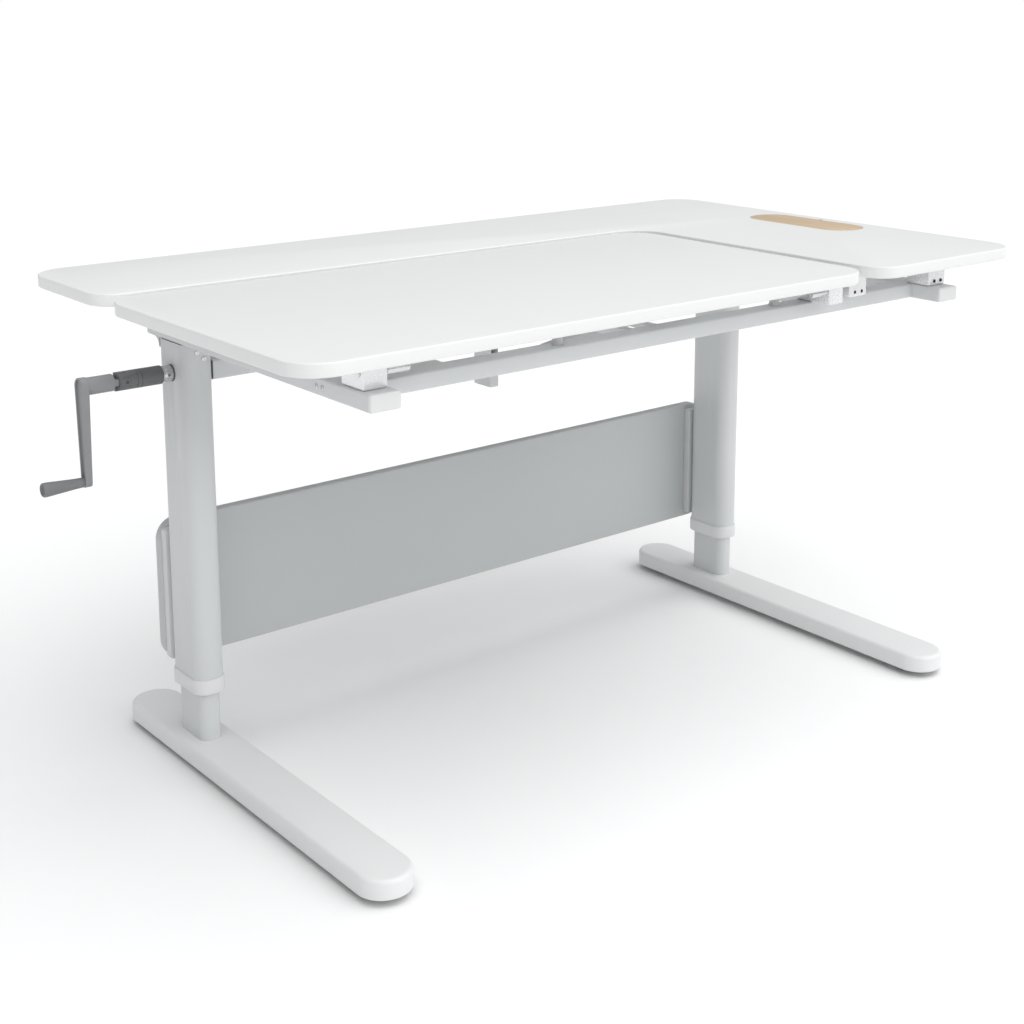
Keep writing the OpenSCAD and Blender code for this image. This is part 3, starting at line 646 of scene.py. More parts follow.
class Effects:
    """The shader groups that the finishes share."""

    def __init__(self) -> None:
        """Builds each group once."""
        self.drift = self._drift()
        self.skin = self._skin()
        self.brushing = self._brushing()
        self.dust = self._dust()
        self.grain = self._grain()

    @staticmethod
    def _drift() -> bpy.types.NodeTree:
        """Slow change of tone over a surface, so that no large face is one flat colour."""
        sheet, given, out = new_group(
            "tone_drift",
            [("Color", "Color", WHITE), ("Second Color", "Color", WHITE), ("Scale", "Float", 6.0),
             ("Amount", "Float", 0.5)],
            [("Color", "Color")],
        )
        cloud = sheet.noise(sheet.place(), given["Scale"], 3.0)
        share = sheet.maths("MULTIPLY", sheet.remap(cloud, 0.35, 0.68), given["Amount"])
        mixed = sheet.mix(share, given["Color"], given["Second Color"])
        sheet.tree.links.new(mixed, out.inputs["Color"])
        return sheet.tree

    @staticmethod
    def _skin() -> bpy.types.NodeTree:
        """Fine texture of a coated, moulded or laminated surface."""
        sheet, given, out = new_group(
            "surface_skin",
            [("Scale", "Float", 900.0), ("Softness", "Float", 0.4), ("Roughness", "Float", 0.4),
             ("Spread", "Float", 0.08)],
            [("Height", "Float"), ("Roughness", "Float")],
        )
        place = sheet.place()
        fine = sheet.noise(place, given["Scale"], 2.0, Roughness=given["Softness"])
        blend = sheet.maths("MULTIPLY_ADD", sheet.noise(place, 14.0, 4.0), 0.7, fine)
        centred = sheet.maths("SUBTRACT", blend, 0.85)
        rough = sheet.maths("MULTIPLY_ADD", centred, given["Spread"], given["Roughness"])
        sheet.tree.links.new(fine, out.inputs["Height"])
        sheet.tree.links.new(rough, out.inputs["Roughness"])
        return sheet.tree

    @staticmethod
    def _brushing() -> bpy.types.NodeTree:
        """Fine parallel marks and blotches of rolled or drawn metal."""
        sheet, given, out = new_group(
            "drawn_marks",
            [("Stretch", "Vector", (40.0, 900.0, 900.0)), ("Roughness", "Float", 0.3),
             ("Spread", "Float", 0.2)],
            [("Height", "Float"), ("Roughness", "Float")],
        )
        place = sheet.place()
        marks = sheet.noise(sheet.vectors("MULTIPLY", place, given["Stretch"]), 1.0, 3.0)
        spots = sheet.add("ShaderNodeTexVoronoi", Vector=place, Scale=260.0)
        both = sheet.maths("MULTIPLY_ADD", spots.outputs["Distance"], 0.3, marks)
        centred = sheet.maths("SUBTRACT", both, 0.6)
        rough = sheet.maths("MULTIPLY_ADD", centred, given["Spread"], given["Roughness"])
        sheet.tree.links.new(marks, out.inputs["Height"])
        sheet.tree.links.new(rough, out.inputs["Roughness"])
        return sheet.tree

    @staticmethod
    def _dust() -> bpy.types.NodeTree:
        """Light floor dust that thins out with height."""
        sheet, given, out = new_group(
            "floor_dust",
            [("Reach", "Float", 0.03), ("Amount", "Float", 0.3)],
            [("Mask", "Float")],
        )
        place = sheet.place()
        height = sheet.add("ShaderNodeSeparateXYZ", Vector=place).outputs["Z"]
        low = sheet.remap(height, given["Reach"], 0.0)
        patch = sheet.remap(sheet.noise(place, 60.0, 5.0), 0.4, 0.65)
        mask = sheet.maths("MULTIPLY", sheet.maths("MULTIPLY", low, patch), given["Amount"])
        sheet.tree.links.new(mask, out.inputs["Mask"])
        return sheet.tree

    @staticmethod
    def _grain() -> bpy.types.NodeTree:
        """Straight wood grain along Y, with pores."""
        sheet, given, out = new_group(
            "wood_grain",
            [("Light", "Color", WHITE), ("Dark", "Color", WHITE), ("Pore", "Color", WHITE)],
            [("Color", "Color"), ("Height", "Float"), ("Roughness", "Float")],
        )
        place = sheet.place()
        wander = sheet.add("ShaderNodeTexNoise", Vector=place, Scale=9.0, Detail=2.0)
        bent = sheet.vectors(
            "MULTIPLY_ADD", wander.outputs["Color"], (0.016, 0.0, 0.0), place
        )
        bands = sheet.vectors("MULTIPLY", bent, (150.0, 4.0, 150.0))
        rings = sheet.noise(bands, 1.0, 6.0, Roughness=0.62)
        tone = sheet.mix(sheet.remap(rings, 0.34, 0.68), given["Light"], given["Dark"])
        needles = sheet.vectors("MULTIPLY", bent, (1500.0, 60.0, 1500.0))
        open_pore = sheet.remap(sheet.noise(needles, 1.0, 1.0), 0.66, 0.74, To_Max=0.55)
        relief = sheet.maths("SUBTRACT", rings, open_pore)
        rough = sheet.remap(relief, -0.2, 0.8, To_Min=0.56, To_Max=0.4)
        links = sheet.tree.links
        links.new(sheet.mix(open_pore, tone, given["Pore"]), out.inputs["Color"])
        links.new(relief, out.inputs["Height"])
        links.new(rough, out.inputs["Roughness"])
        return sheet.tree


# ---- finishes ----

DUST_COLOR = (0.42, 0.4, 0.37, 1.0)


@dataclass(frozen=True)
class Finish:
    """A coated, moulded or laminated finish.

    The colour drifts slowly to a second tone, and a fine skin sets gloss and relief.
    """

    name: str
    color: tuple[float, float, float]
    second: tuple[float, float, float]
    roughness: float
    spread: float = 0.08
    skin_scale: float = 900.0
    skin_depth: float = 0.00004
    skin_strength: float = 0.25
    drift_scale: float = 5.0
    drift_amount: float = 0.6
    coat: float = 0.0
    metallic: float = 0.0
    dust: float = 0.0

    def make(self, effects: Effects) -> bpy.types.Material:
        """Builds the material.

        Args:
            effects: The shared shader groups.

        Returns:
            The new material.
        """
        material = bpy.data.materials.new(self.name)
        material.use_nodes = True
        sheet = Sheet(material.node_tree)
        height, rough = self._relief(sheet, effects)
        bump = sheet.add(
            "ShaderNodeBump", Height=height, Distance=self.skin_depth,
            Strength=self.skin_strength,
        )
        shader = sheet.add(
            "ShaderNodeBsdfPrincipled", Base_Color=self._color(sheet, effects),
            Roughness=rough, Normal=bump.outputs["Normal"], Metallic=self.metallic,
            Coat_Weight=self.coat, Coat_Roughness=0.25,
        )
        sheet.add("ShaderNodeOutputMaterial", Surface=shader.outputs[0])
        material.diffuse_color = (*self.color, 1.0)
        return material

    def _color(self, sheet: Sheet, effects: Effects) -> bpy.types.NodeSocket:
        """The drifting colour, under floor dust where the finish has it."""
        drift = sheet.add(
            "ShaderNodeGroup", node_tree=effects.drift, Color=(*self.color, 1.0),
            Second_Color=(*self.second, 1.0), Scale=self.drift_scale,
            Amount=self.drift_amount,
        )
        if not self.dust:
            return drift.outputs["Color"]
        dust = sheet.add(
            "ShaderNodeGroup", node_tree=effects.dust, Reach=0.022, Amount=self.dust
        )
        return sheet.mix(dust.outputs["Mask"], drift.outputs["Color"], DUST_COLOR)

    def _relief(
        self, sheet: Sheet, effects: Effects
    ) -> tuple[bpy.types.NodeSocket, bpy.types.NodeSocket]:
        """Height and roughness of the fine skin."""
        skin = sheet.add(
            "ShaderNodeGroup", node_tree=effects.skin, Scale=self.skin_scale, Softness=0.45,
            Roughness=self.roughness, Spread=self.spread,
        )
        return skin.outputs["Height"], skin.outputs["Roughness"]


@dataclass(frozen=True)
class MetalFinish(Finish):
    """A bare or plated metal with drawn marks along one axis."""

    stretch: tuple[float, float, float] = (40.0, 900.0, 900.0)

    def _relief(
        self, sheet: Sheet, effects: Effects
    ) -> tuple[bpy.types.NodeSocket, bpy.types.NodeSocket]:
        """Height and roughness of the drawn marks."""
        marks = sheet.add(
            "ShaderNodeGroup", node_tree=effects.brushing, Stretch=self.stretch,
            Roughness=self.roughness, Spread=self.spread,
        )
        return marks.outputs["Height"], marks.outputs["Roughness"]


@dataclass(frozen=True)
class WoodFinish(Finish):
    """Lacquered veneer with its grain along Y."""

    pore: tuple[float, float, float] = (0.3, 0.2, 0.11)

    def _grain(self, sheet: Sheet, effects: Effects) -> bpy.types.Node:
        """The grain's group with this wood's colours."""
        return sheet.add(
            "ShaderNodeGroup", node_tree=effects.grain, Light=(*self.color, 1.0),
            Dark=(*self.second, 1.0), Pore=(*self.pore, 1.0),
        )

    def _color(self, sheet: Sheet, effects: Effects) -> bpy.types.NodeSocket:
        """The colour of the grain."""
        return self._grain(sheet, effects).outputs["Color"]

    def _relief(
        self, sheet: Sheet, effects: Effects
    ) -> tuple[bpy.types.NodeSocket, bpy.types.NodeSocket]:
        """Height and roughness of the grain."""
        grain = self._grain(sheet, effects)
        return grain.outputs["Height"], grain.outputs["Roughness"]


def finishes() -> dict[str, Finish]:
    """The finish of each material slot of the record."""
    return {
        "worktop": Finish(
            "white_laminate", (0.82, 0.822, 0.818), (0.805, 0.806, 0.803), 0.42, 0.10,
            skin_scale=520.0, skin_depth=0.00005, skin_strength=0.12, drift_scale=2.5,
        ),
        # Same white powder coat as the feet, with its colour darkened as painted shade under the worktop.
        "frame": Finish(
            "white_powder_coat", (0.66, 0.674, 0.678), (0.64, 0.655, 0.66), 0.44, 0.12,
            skin_scale=1100.0, skin_depth=0.00006, skin_strength=0.22,
        ),
        "foot": Finish(
            "foot_powder_coat", (0.79, 0.795, 0.795), (0.77, 0.776, 0.778), 0.42, 0.12,
            skin_scale=1100.0, skin_depth=0.00006, skin_strength=0.22, dust=0.12,
        ),
        "bracket": Finish(
            "bracket_bright_coat", (0.84, 0.845, 0.85), (0.8, 0.806, 0.81), 0.26, 0.14,
            skin_scale=1100.0, skin_depth=0.00002, skin_strength=0.06, metallic=0.45,
        ),
        "white_plastic": Finish(
            "white_moulded_plastic", (0.74, 0.745, 0.745), (0.72, 0.727, 0.73), 0.46, 0.1,
            skin_scale=1700.0, skin_depth=0.00004, skin_strength=0.25,
        ),
        "nylon": Finish(
            "natural_nylon", (0.78, 0.75, 0.66), (0.74, 0.71, 0.61), 0.5,
            skin_scale=1500.0,
        ),
        "modesty": Finish(
            "grey_laminate", (0.53, 0.545, 0.545), (0.515, 0.532, 0.533), 0.46, 0.1,
            skin_scale=520.0, skin_depth=0.00005, skin_strength=0.14, drift_scale=3.0,
        ),
        "oak": WoodFinish(
            "light_oak", (0.67, 0.525, 0.355), (0.555, 0.415, 0.262), 0.48,
            skin_depth=0.0001, skin_strength=0.3,
        ),
        "pad": Finish(
            "dark_rubber", (0.075, 0.077, 0.08), (0.055, 0.056, 0.058), 0.7, 0.15,
            skin_scale=1400.0, skin_depth=0.0001, skin_strength=0.4, dust=0.35,
        ),
        "bumper": Finish(
            "grey_rubber", (0.56, 0.57, 0.57), (0.52, 0.53, 0.53), 0.6, 0.12,
            skin_scale=1400.0, skin_depth=0.00008, skin_strength=0.3,
        ),
        "steel": MetalFinish(
            "bright_zinc_steel", (0.72, 0.72, 0.73), (0.6, 0.6, 0.62), 0.26, 0.22,
            skin_depth=0.00003, skin_strength=0.2, drift_scale=40.0, metallic=1.0,
        ),
        "black_steel": Finish(
            "black_oxide_steel", (0.022, 0.022, 0.024), (0.034, 0.034, 0.036), 0.42, 0.2,
            skin_scale=1300.0, drift_scale=60.0,
        ),
        "bronze": MetalFinish(
            "sintered_bronze", (0.55, 0.37, 0.19), (0.42, 0.28, 0.15), 0.42, 0.25,
            skin_depth=0.00005, skin_strength=0.3, drift_scale=60.0, metallic=1.0,
            stretch=(700.0, 700.0, 700.0),
        ),
        "gear": MetalFinish(
            "hardened_steel", (0.36, 0.36, 0.37), (0.28, 0.28, 0.29), 0.34, 0.25,
            skin_depth=0.00003, skin_strength=0.25, drift_scale=60.0, metallic=1.0,
        ),
        "housing": MetalFinish(
            "cast_alloy", (0.5, 0.5, 0.51), (0.43, 0.43, 0.44), 0.52, 0.2,
            skin_depth=0.0002, skin_strength=0.4, drift_scale=30.0, metallic=1.0,
            stretch=(500.0, 500.0, 500.0),
        ),
        "crank_dark": Finish(
            "dark_moulded_plastic", (0.135, 0.14, 0.145), (0.12, 0.125, 0.13), 0.42, 0.15,
            skin_scale=1500.0, skin_depth=0.00005, skin_strength=0.35, drift_scale=25.0,
        ),
        "crank_grey": Finish(
            "grey_crank_paint", (0.27, 0.276, 0.28), (0.25, 0.256, 0.26), 0.4, 0.14,
            skin_scale=1300.0, skin_depth=0.00005, skin_strength=0.3, drift_scale=20.0,
        ),
        "grip": Finish(
            "grey_grip_plastic", (0.2, 0.206, 0.21), (0.18, 0.186, 0.19), 0.48, 0.14,
            skin_scale=1500.0, skin_depth=0.00006, skin_strength=0.35, drift_scale=25.0,
        ),
        "strut_grey": Finish(
            "grey_strut_paint", (0.52, 0.53, 0.54), (0.48, 0.49, 0.5), 0.3, 0.12,
            skin_scale=1300.0, coat=0.3, drift_scale=20.0,
        ),
    }


class Paintshop:
    """Makes each finish once and hands finished pieces over to the frame."""

    def __init__(self) -> None:
        """Builds the shared effects and every finish."""
        effects = Effects()
        self.materials = {slot: f.make(effects) for slot, f in finishes().items()}
        self.done: list[str] = []

    def hand_over(self, obj: bpy.types.Object, node: str, name: str) -> None:
        """Dresses a finished piece, smooths it and lets it stand for a frame node.

        Args:
            obj: The finished mesh.
            node: The frame node it replaces.
            name: The piece's name.
        """
        self.dress(obj, SLOT_OF[node], BODY_OF[node], name)
        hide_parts(node)
        log.info("%s stands for %s, %d faces", name, node, len(obj.data.polygons))

    def dress(self, obj: bpy.types.Object, slot: str, body: str, name: str) -> None:
        """Names, paints and smooths a piece and lets it ride on its body.

        Args:
            obj: The finished mesh.
            slot: The record's material slot.
            body: The frame body that it rides on.
            name: The piece's name.
        """
        take(obj)
        bpy.ops.object.shade_smooth_by_angle(angle=SMOOTH_ANGLE)
        obj.name = name
        obj.data.name = name
        obj.data.materials.clear()
        obj.data.materials.append(self.materials[slot])
        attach(obj, body)
        self.done.append(name)

    def paint_kept_nodes(self) -> None:
        """Gives every frame node that is still shown its own finish."""
        for name, obj in frame["nodes"].items():
            if obj.hide_render:
                continue
            finish = self.materials[SLOT_OF[name]]
            if not obj.material_slots:
                obj.data.materials.append(finish)
            for place in obj.material_slots:
                place.material = finish
            log.info("%s keeps its shape, with %s", name, finish.name)


# ---- feet and pads ----


@dataclass
class Foot:
    """A long round-ended foot pressed from sheet, hollow below."""

    node: str
    edge: float = 6 * MM
    wall: float = 2.5 * MM
    boss_r: float = 11 * MM
    bore_r: float = 4.1 * MM
    pad_nodes: tuple[str, str] = ("", "")

    def build(self, shop: Paintshop) -> None:
        """Builds the foot's shell and the bosses of its pads."""
        span = span_of(self.node)
        shell = pill(self.node, span, 24)
        round_edges(shell, lies_at(Z, span.high.z), self.edge, 6)
        remove_faces(shell, faces_along(Z, -1))
        walled(shell, self.wall)
        softened(shell, 0.4 * MM, 1)
        bosses = [self._boss(pad, span) for pad in self.pad_nodes]
        shop.hand_over(joined([shell, *bosses]), self.node, f"{self.node}_shell")

    def _boss(self, pad: str, span: Span) -> bpy.types.Object:
        """The threaded boss over one pad."""
        where = span_of(pad).middle
        height = span.size.z - 0.8 * self.wall
        outline = [
            (self.bore_r, 0), (self.boss_r - 1 * MM, 0), (self.boss_r, 1 * MM),
            (self.boss_r, height - 2 * MM), (self.boss_r + 2 * MM, height),
            (self.bore_r, height), (self.bore_r, 0),
        ]
        boss = turned("boss", outline, 32)
        return moved(boss, Matrix.Translation((where.x, where.y, span.low.z)))


@dataclass
class LevellingPad:
    """A rubber pad with a ribbed rim, moulded on a threaded stem."""

    node: str
    disc_h: float = 9.7 * MM
    thread_pitch: float = 1.25 * MM
    ribs: int = 30

    def build(self, shop: Paintshop) -> None:
        """Builds the pad with its stem."""
        span = span_of(self.node)
        r = span.size.x / 2
        h = self.disc_h
        stem_r = 4 * MM
        outline = [
            (0, 0), (r - 3 * MM, 0), (r - 2.2 * MM, 0.5 * MM), (r - 1 * MM, 0.6 * MM),
            (r, 1.6 * MM), (r, h - 3.4 * MM), (r - 0.8 * MM, h - 2.4 * MM),
            (r - 6 * MM, h - 1.2 * MM), (stem_r + 3 * MM, h), (stem_r - 0.4 * MM, h),
        ]
        z = h + 0.4 * MM
        while z + self.thread_pitch < span.size.z:
            outline += [(stem_r, z + 0.3 * self.thread_pitch),
                        (stem_r - 0.6 * MM, z + 0.8 * self.thread_pitch)]
            z += self.thread_pitch
        outline += [(stem_r - 1 * MM, span.size.z), (0, span.size.z)]
        pad = turned(self.node, outline, 2 * self.ribs)
        self._rib(pad, r)
        moved(pad, Matrix.Translation(span.at(z=span.low.z)))
        shop.hand_over(pad, self.node, f"{self.node}_rubber")

    def _rib(self, pad: bpy.types.Object, r: float) -> None:
        """Presses every second facet of the rim in a little."""
        with editing(pad, "FACE"):
            count = 2 * self.ribs

            def every_second(centre: Vector, normal: Vector) -> bool:
                on_rim = abs(normal.z) < 0.05 and math.hypot(centre.x, centre.y) > r - 0.6 * MM
                turn = math.atan2(centre.y, centre.x) % (2 * math.pi)
                return on_rim and int(turn / (2 * math.pi) * count) % 2 == 0

            if pick_faces(pad, every_second):
                bpy.ops.mesh.inset(thickness=0.25 * MM, depth=-0.5 * MM, use_individual=True)


# ---- columns ----


@dataclass
class Columns:
    """Outer and inner tubes, their collars and a dark ring that paints the shadow where the crank enters."""

    outer_r: float = 18 * MM
    inner_r: float = 13 * MM
    wall: float = 2 * MM
    collar_proud: float = 2 * MM
    lip: float = 3 * MM
    slip: float = 0.3 * MM

    def build(self, shop: Paintshop) -> None:
        """Builds both columns from the top down."""
        for side in SIDES:
            node = f"{side}_outer_tube"
            tube = section_tube(node, span_of(node), Z, self.outer_r, self.wall, 14)
            self._port(tube, side)
            softened(tube, 0.5 * MM, 2)
            shop.hand_over(tube, node, f"{side}_column")
            node = f"{side}_inner_tube"
            tube = section_tube(node, span_of(node), Z, self.inner_r, self.wall, 12)
            shop.hand_over(tube, node, f"{side}_inner_column")
        collars = [self._collar(s) for s in solids_of("column_collars")]
        shop.hand_over(joined(collars), "column_collars", "moulded_collars")
        # dark ring that paints the shadow where the crank enters the left column
        self._port_ring(shop)

    def _port(self, tube: bpy.types.Object, side: str) -> None:
        """Cuts the cross shaft's way through the tube's walls."""
        shaft = span_of("cross_shaft")
        span = span_of(f"{side}_outer_tube")
        out = 3 * self.wall
        far = span.high.x + out if side == "left" else span.middle.x
        cut_by(tube, drill(SHAFT_WAY_R, shaft.at(x=span.low.x - out), shaft.at(x=far)))

    def _port_ring(self, shop: Paintshop) -> None:
        """Dark plastic ring round the crank's way into the left column; it paints the shadow in the gap between
        socket and column.
        """
        column = span_of("left_outer_tube")
        socket = span_of("crank_socket")
        gap = column.low.x - socket.high.x
        way = SHAFT_WAY_R + 0.15 * MM
        ring_r = socket.size.z / 2 + 0.7 * MM
        outline = [
            (way, 0), (ring_r, 0), (ring_r, 0.4 * gap), (ring_r - 0.5 * MM, 0.75 * gap),
            (way, 0.75 * gap), (way, 0),
        ]
        ring = turned("port_ring", outline, 40)
        moved(ring, standing(socket.at(x=column.low.x), (-1, 0, 0)))
        shop.dress(ring, "crank_dark", "upper_frame", "crank_port_ring")
        log.info("crank_port_ring added on upper_frame")

    def _collar(self, span: Span) -> bpy.types.Object:
        """A collar with rounded rims, open for both tubes."""
        radius = self.outer_r + self.collar_proud
        collar = block("collar", span)
        round_edges(collar, runs_along(Z), radius, 14)
        softened(collar, 1.8 * MM, 3)
        lift = Vector((0, 0, self.lip))
        outer = span.grown(-self.collar_proud, -self.collar_proud, 0)
        seat = block("seat", Span(outer.low + lift, outer.high + lift))
        round_edges(seat, runs_along(Z), self.outer_r, 14)
        inner = span_of("left_inner_tube").size
        half = Vector((inner.x / 2 + self.slip, inner.y / 2 + self.slip, span.size.z))
        way = block("way", Span(span.middle - half, span.middle + half))
        round_edges(way, runs_along(Z), self.inner_r + self.slip, 12)
        return cut_by(collar, seat, way)


# ---- upper frame ----


@dataclass
class UpperFrame:
    """Arms, beams, bars, shaft cover and the parts fixed to them."""

    tube_r: float = 2.5 * MM
    wall: float = 2 * MM
    cap_t: float = 4 * MM
    sheet: float = 2 * MM
    fold_r: float = 2.6 * MM
    slot_half: float = 16 * MM
    slot_run: tuple[float, float] = (6 * MM, 196 * MM)
    bead_r: float = 1.3 * MM

    def build(self, shop: Paintshop) -> None:
        """Builds each frame member."""
        for side in SIDES:
            node = f"{side}_arm"
            arm = section_tube(node, span_of(node), Y, self.tube_r, self.wall, 4)
            shop.hand_over(arm, node, f"{side}_arm_tube")
        for node in ("front_beam", "rear_beam"):
            beam = section_tube(node, span_of(node), X, self.tube_r, self.wall, 4)
            shop.hand_over(beam, node, f"{node}_tube")
        cover = section_tube("shaft_cover", span_of("shaft_cover"), X, 3 * MM, 1.5 * MM, 5)
        shop.hand_over(cover, "shaft_cover", "shaft_cover_tube")
        self._caps(shop)
        self._bars(shop)
        self._cover_ends(shop)
        self._post(shop)
        self._spacers(shop)
        self._gussets(shop)
        self._welds(shop)

    def _caps(self, shop: Paintshop) -> None:
        """Moulded end caps with a plug that fills the tube."""
        caps = []
        for span in solids_of("arm_caps"):
            front = span.middle.y < span_of("left_arm").middle.y
            low, high = span.low.copy(), span.high.copy()
            plug_low, plug_high = low.copy(), high.copy()
            if front:
                high.y = low.y + self.cap_t
                plug_low.y = high.y
            else:
                low.y = high.y - self.cap_t
                plug_high.y = low.y
            cap = block("cap", Span(low, high))
            round_edges(cap, runs_along(Y), 3 * MM, 5)
            outer = low.y if front else high.y
            round_edges(cap, lies_at(Y, outer), 2.2 * MM, 4)
            inset = -self.wall - 0.05 * MM
            plug = Span(plug_low, plug_high).grown(inset, 0, inset)
            caps += [cap, softened(block("plug", plug), 0.6 * MM, 1)]
        shop.hand_over(joined(caps), "arm_caps", "moulded_arm_caps")

    def _bars(self, shop: Paintshop) -> None:
        """Lengthwise channels, folded from sheet and open below."""
        sides = [self._channel(s) for s in solids_of("side_bars")]
        shop.hand_over(joined(sides), "side_bars", "side_channels")
        span = span_of("middle_bar")
        bar = self._channel(span)
        middle = span_of("strut_post").middle.x
        start, end = self.slot_run
        tool = block("slot", Span(
            Vector((middle - self.slot_half, span.low.y + start, span.low.z - MM)),
            Vector((middle + self.slot_half, span.low.y + end, span.high.z + MM)),
        ))
        round_edges(tool, runs_along(Z), 0.2 * MM, 2)
        shop.hand_over(cut_by(bar, tool), "middle_bar", "middle_channel")

    def _channel(self, span: Span) -> bpy.types.Object:
        """One channel: a web above and a flange on each side."""
        bar = block("bar", span)
        def fold(a: Vector, b: Vector) -> bool:
            return min(a.z, b.z) > span.high.z - NEAR

        round_edges(bar, runs_along(Y, fold), self.fold_r, 4)
        remove_faces(bar, faces_along(Y))
        remove_faces(bar, faces_along(Z, -1))
        return walled(bar, self.sheet)

    def _cover_ends(self, shop: Paintshop) -> None:
        """Dark end pieces of the shaft's cover."""
        ends = []
        shaft = span_of("cross_shaft")
        out = 5 * MM
        for span in solids_of("shaft_cover_collars"):
            end = block("end", span)
            round_edges(end, runs_along(X), 3 * MM, 4)
            softened(end, 0.5 * MM, 2)
            way = drill(SHAFT_WAY_R, shaft.at(x=span.low.x - out), shaft.at(x=span.high.x + out))
            ends.append(cut_by(end, way))
        shop.hand_over(joined(ends), "shaft_cover_collars", "shaft_cover_ends")

    def _post(self, shop: Paintshop) -> None:
        """Square post that carries the strut's lower pivot, slotted in front."""
        span = span_of("strut_post")
        pin = span_of("strut_post_pin")
        post = section_tube("strut_post", span, Z, 2.4 * MM, self.wall, 4)
        inside = span.size.x / 2 - self.wall
        slot = Span(
            Vector((span.middle.x - inside, span.low.y - MM, pin.middle.z - 4 * MM)),
            Vector((span.middle.x + inside, span.low.y + 2 * self.wall, span.high.z + MM)),
        )
        hole = drill(PIN_WAY_R, pin.at(x=span.low.x - MM), pin.at(x=span.high.x + MM))
        cut_by(post, block("slot", slot), hole)
        shop.hand_over(post, "strut_post", "strut_hanging_post")
        head = turned(
            "head",
            [(0, 0), (5 * MM, 0), (5 * MM, 1 * MM), (4.2 * MM, 1.7 * MM), (0, 1.8 * MM)], 32,
        )
        other = copied(head, standing(pin.at(x=span.high.x + 0.1 * MM), (1, 0, 0)))
        moved(head, standing(pin.at(x=span.low.x - 0.1 * MM), (-1, 0, 0)))
        near, far = pin.at(x=pin.low.x + 0.2 * MM), pin.at(x=pin.high.x - 0.2 * MM)
        shaft = rod("pin", 3 * MM, near, far, 0.4 * MM)
        shop.hand_over(joined([shaft, head, other]), "strut_post_pin", "strut_lower_pin")

    def _spacers(self, shop: Paintshop) -> None:
        """Distance pieces between the columns and the modesty panel."""
        parts = []
        for span in solids_of("modesty_spacers"):
            spacer = block("spacer", span)
            round_edges(spacer, runs_along(Y), 4 * MM, 4)
            parts.append(softened(spacer, 0.8 * MM, 2))
        shop.hand_over(joined(parts), "modesty_spacers", "panel_spacers")

    def _gussets(self, shop: Paintshop) -> None:
        """Curved fillets under the arms, behind the columns."""
        parts = []
        for span in solids_of("gussets"):
            size = span.size.z
            fillet = block("gusset", span)
            centre = Vector((span.low.x - MM, span.high.y, span.low.z))
            end = Vector((span.high.x + MM, span.high.y, span.low.z))
            parts.append(cut_by(fillet, drill(size - MM, centre, end)))
        shop.hand_over(joined(parts), "gussets", "arm_fillets")

    def _welds(self, shop: Paintshop) -> None:
        """Painted weld beads where the cross beams meet the arms."""
        beads = []
        for node in ("front_beam", "rear_beam"):
            span = span_of(node)
            for x in (span.low.x, span.high.x):
                for y in (span.low.y, span.high.y):
                    start = Vector((x, y, span.low.z + 2.5 * MM))
                    end = Vector((x, y, span.high.z - 2.5 * MM))
                    beads.append(weld_bead("bead", start, end, self.bead_r, 9))
        for side in SIDES:
            span = span_of(f"{side}_outer_tube")
            line = Vector((span.middle.x, span.low.y + 0.6 * MM, span.high.z - 0.4 * MM))
            half = Vector((12 * MM, 0, 0))
            beads.append(weld_bead("bead", line - half, line + half, self.bead_r, 14))
        shop.dress(joined(beads), "frame", "upper_frame", "frame_welds")
        log.info("frame_welds added on upper_frame")


# ---- brackets, screws and bumpers ----


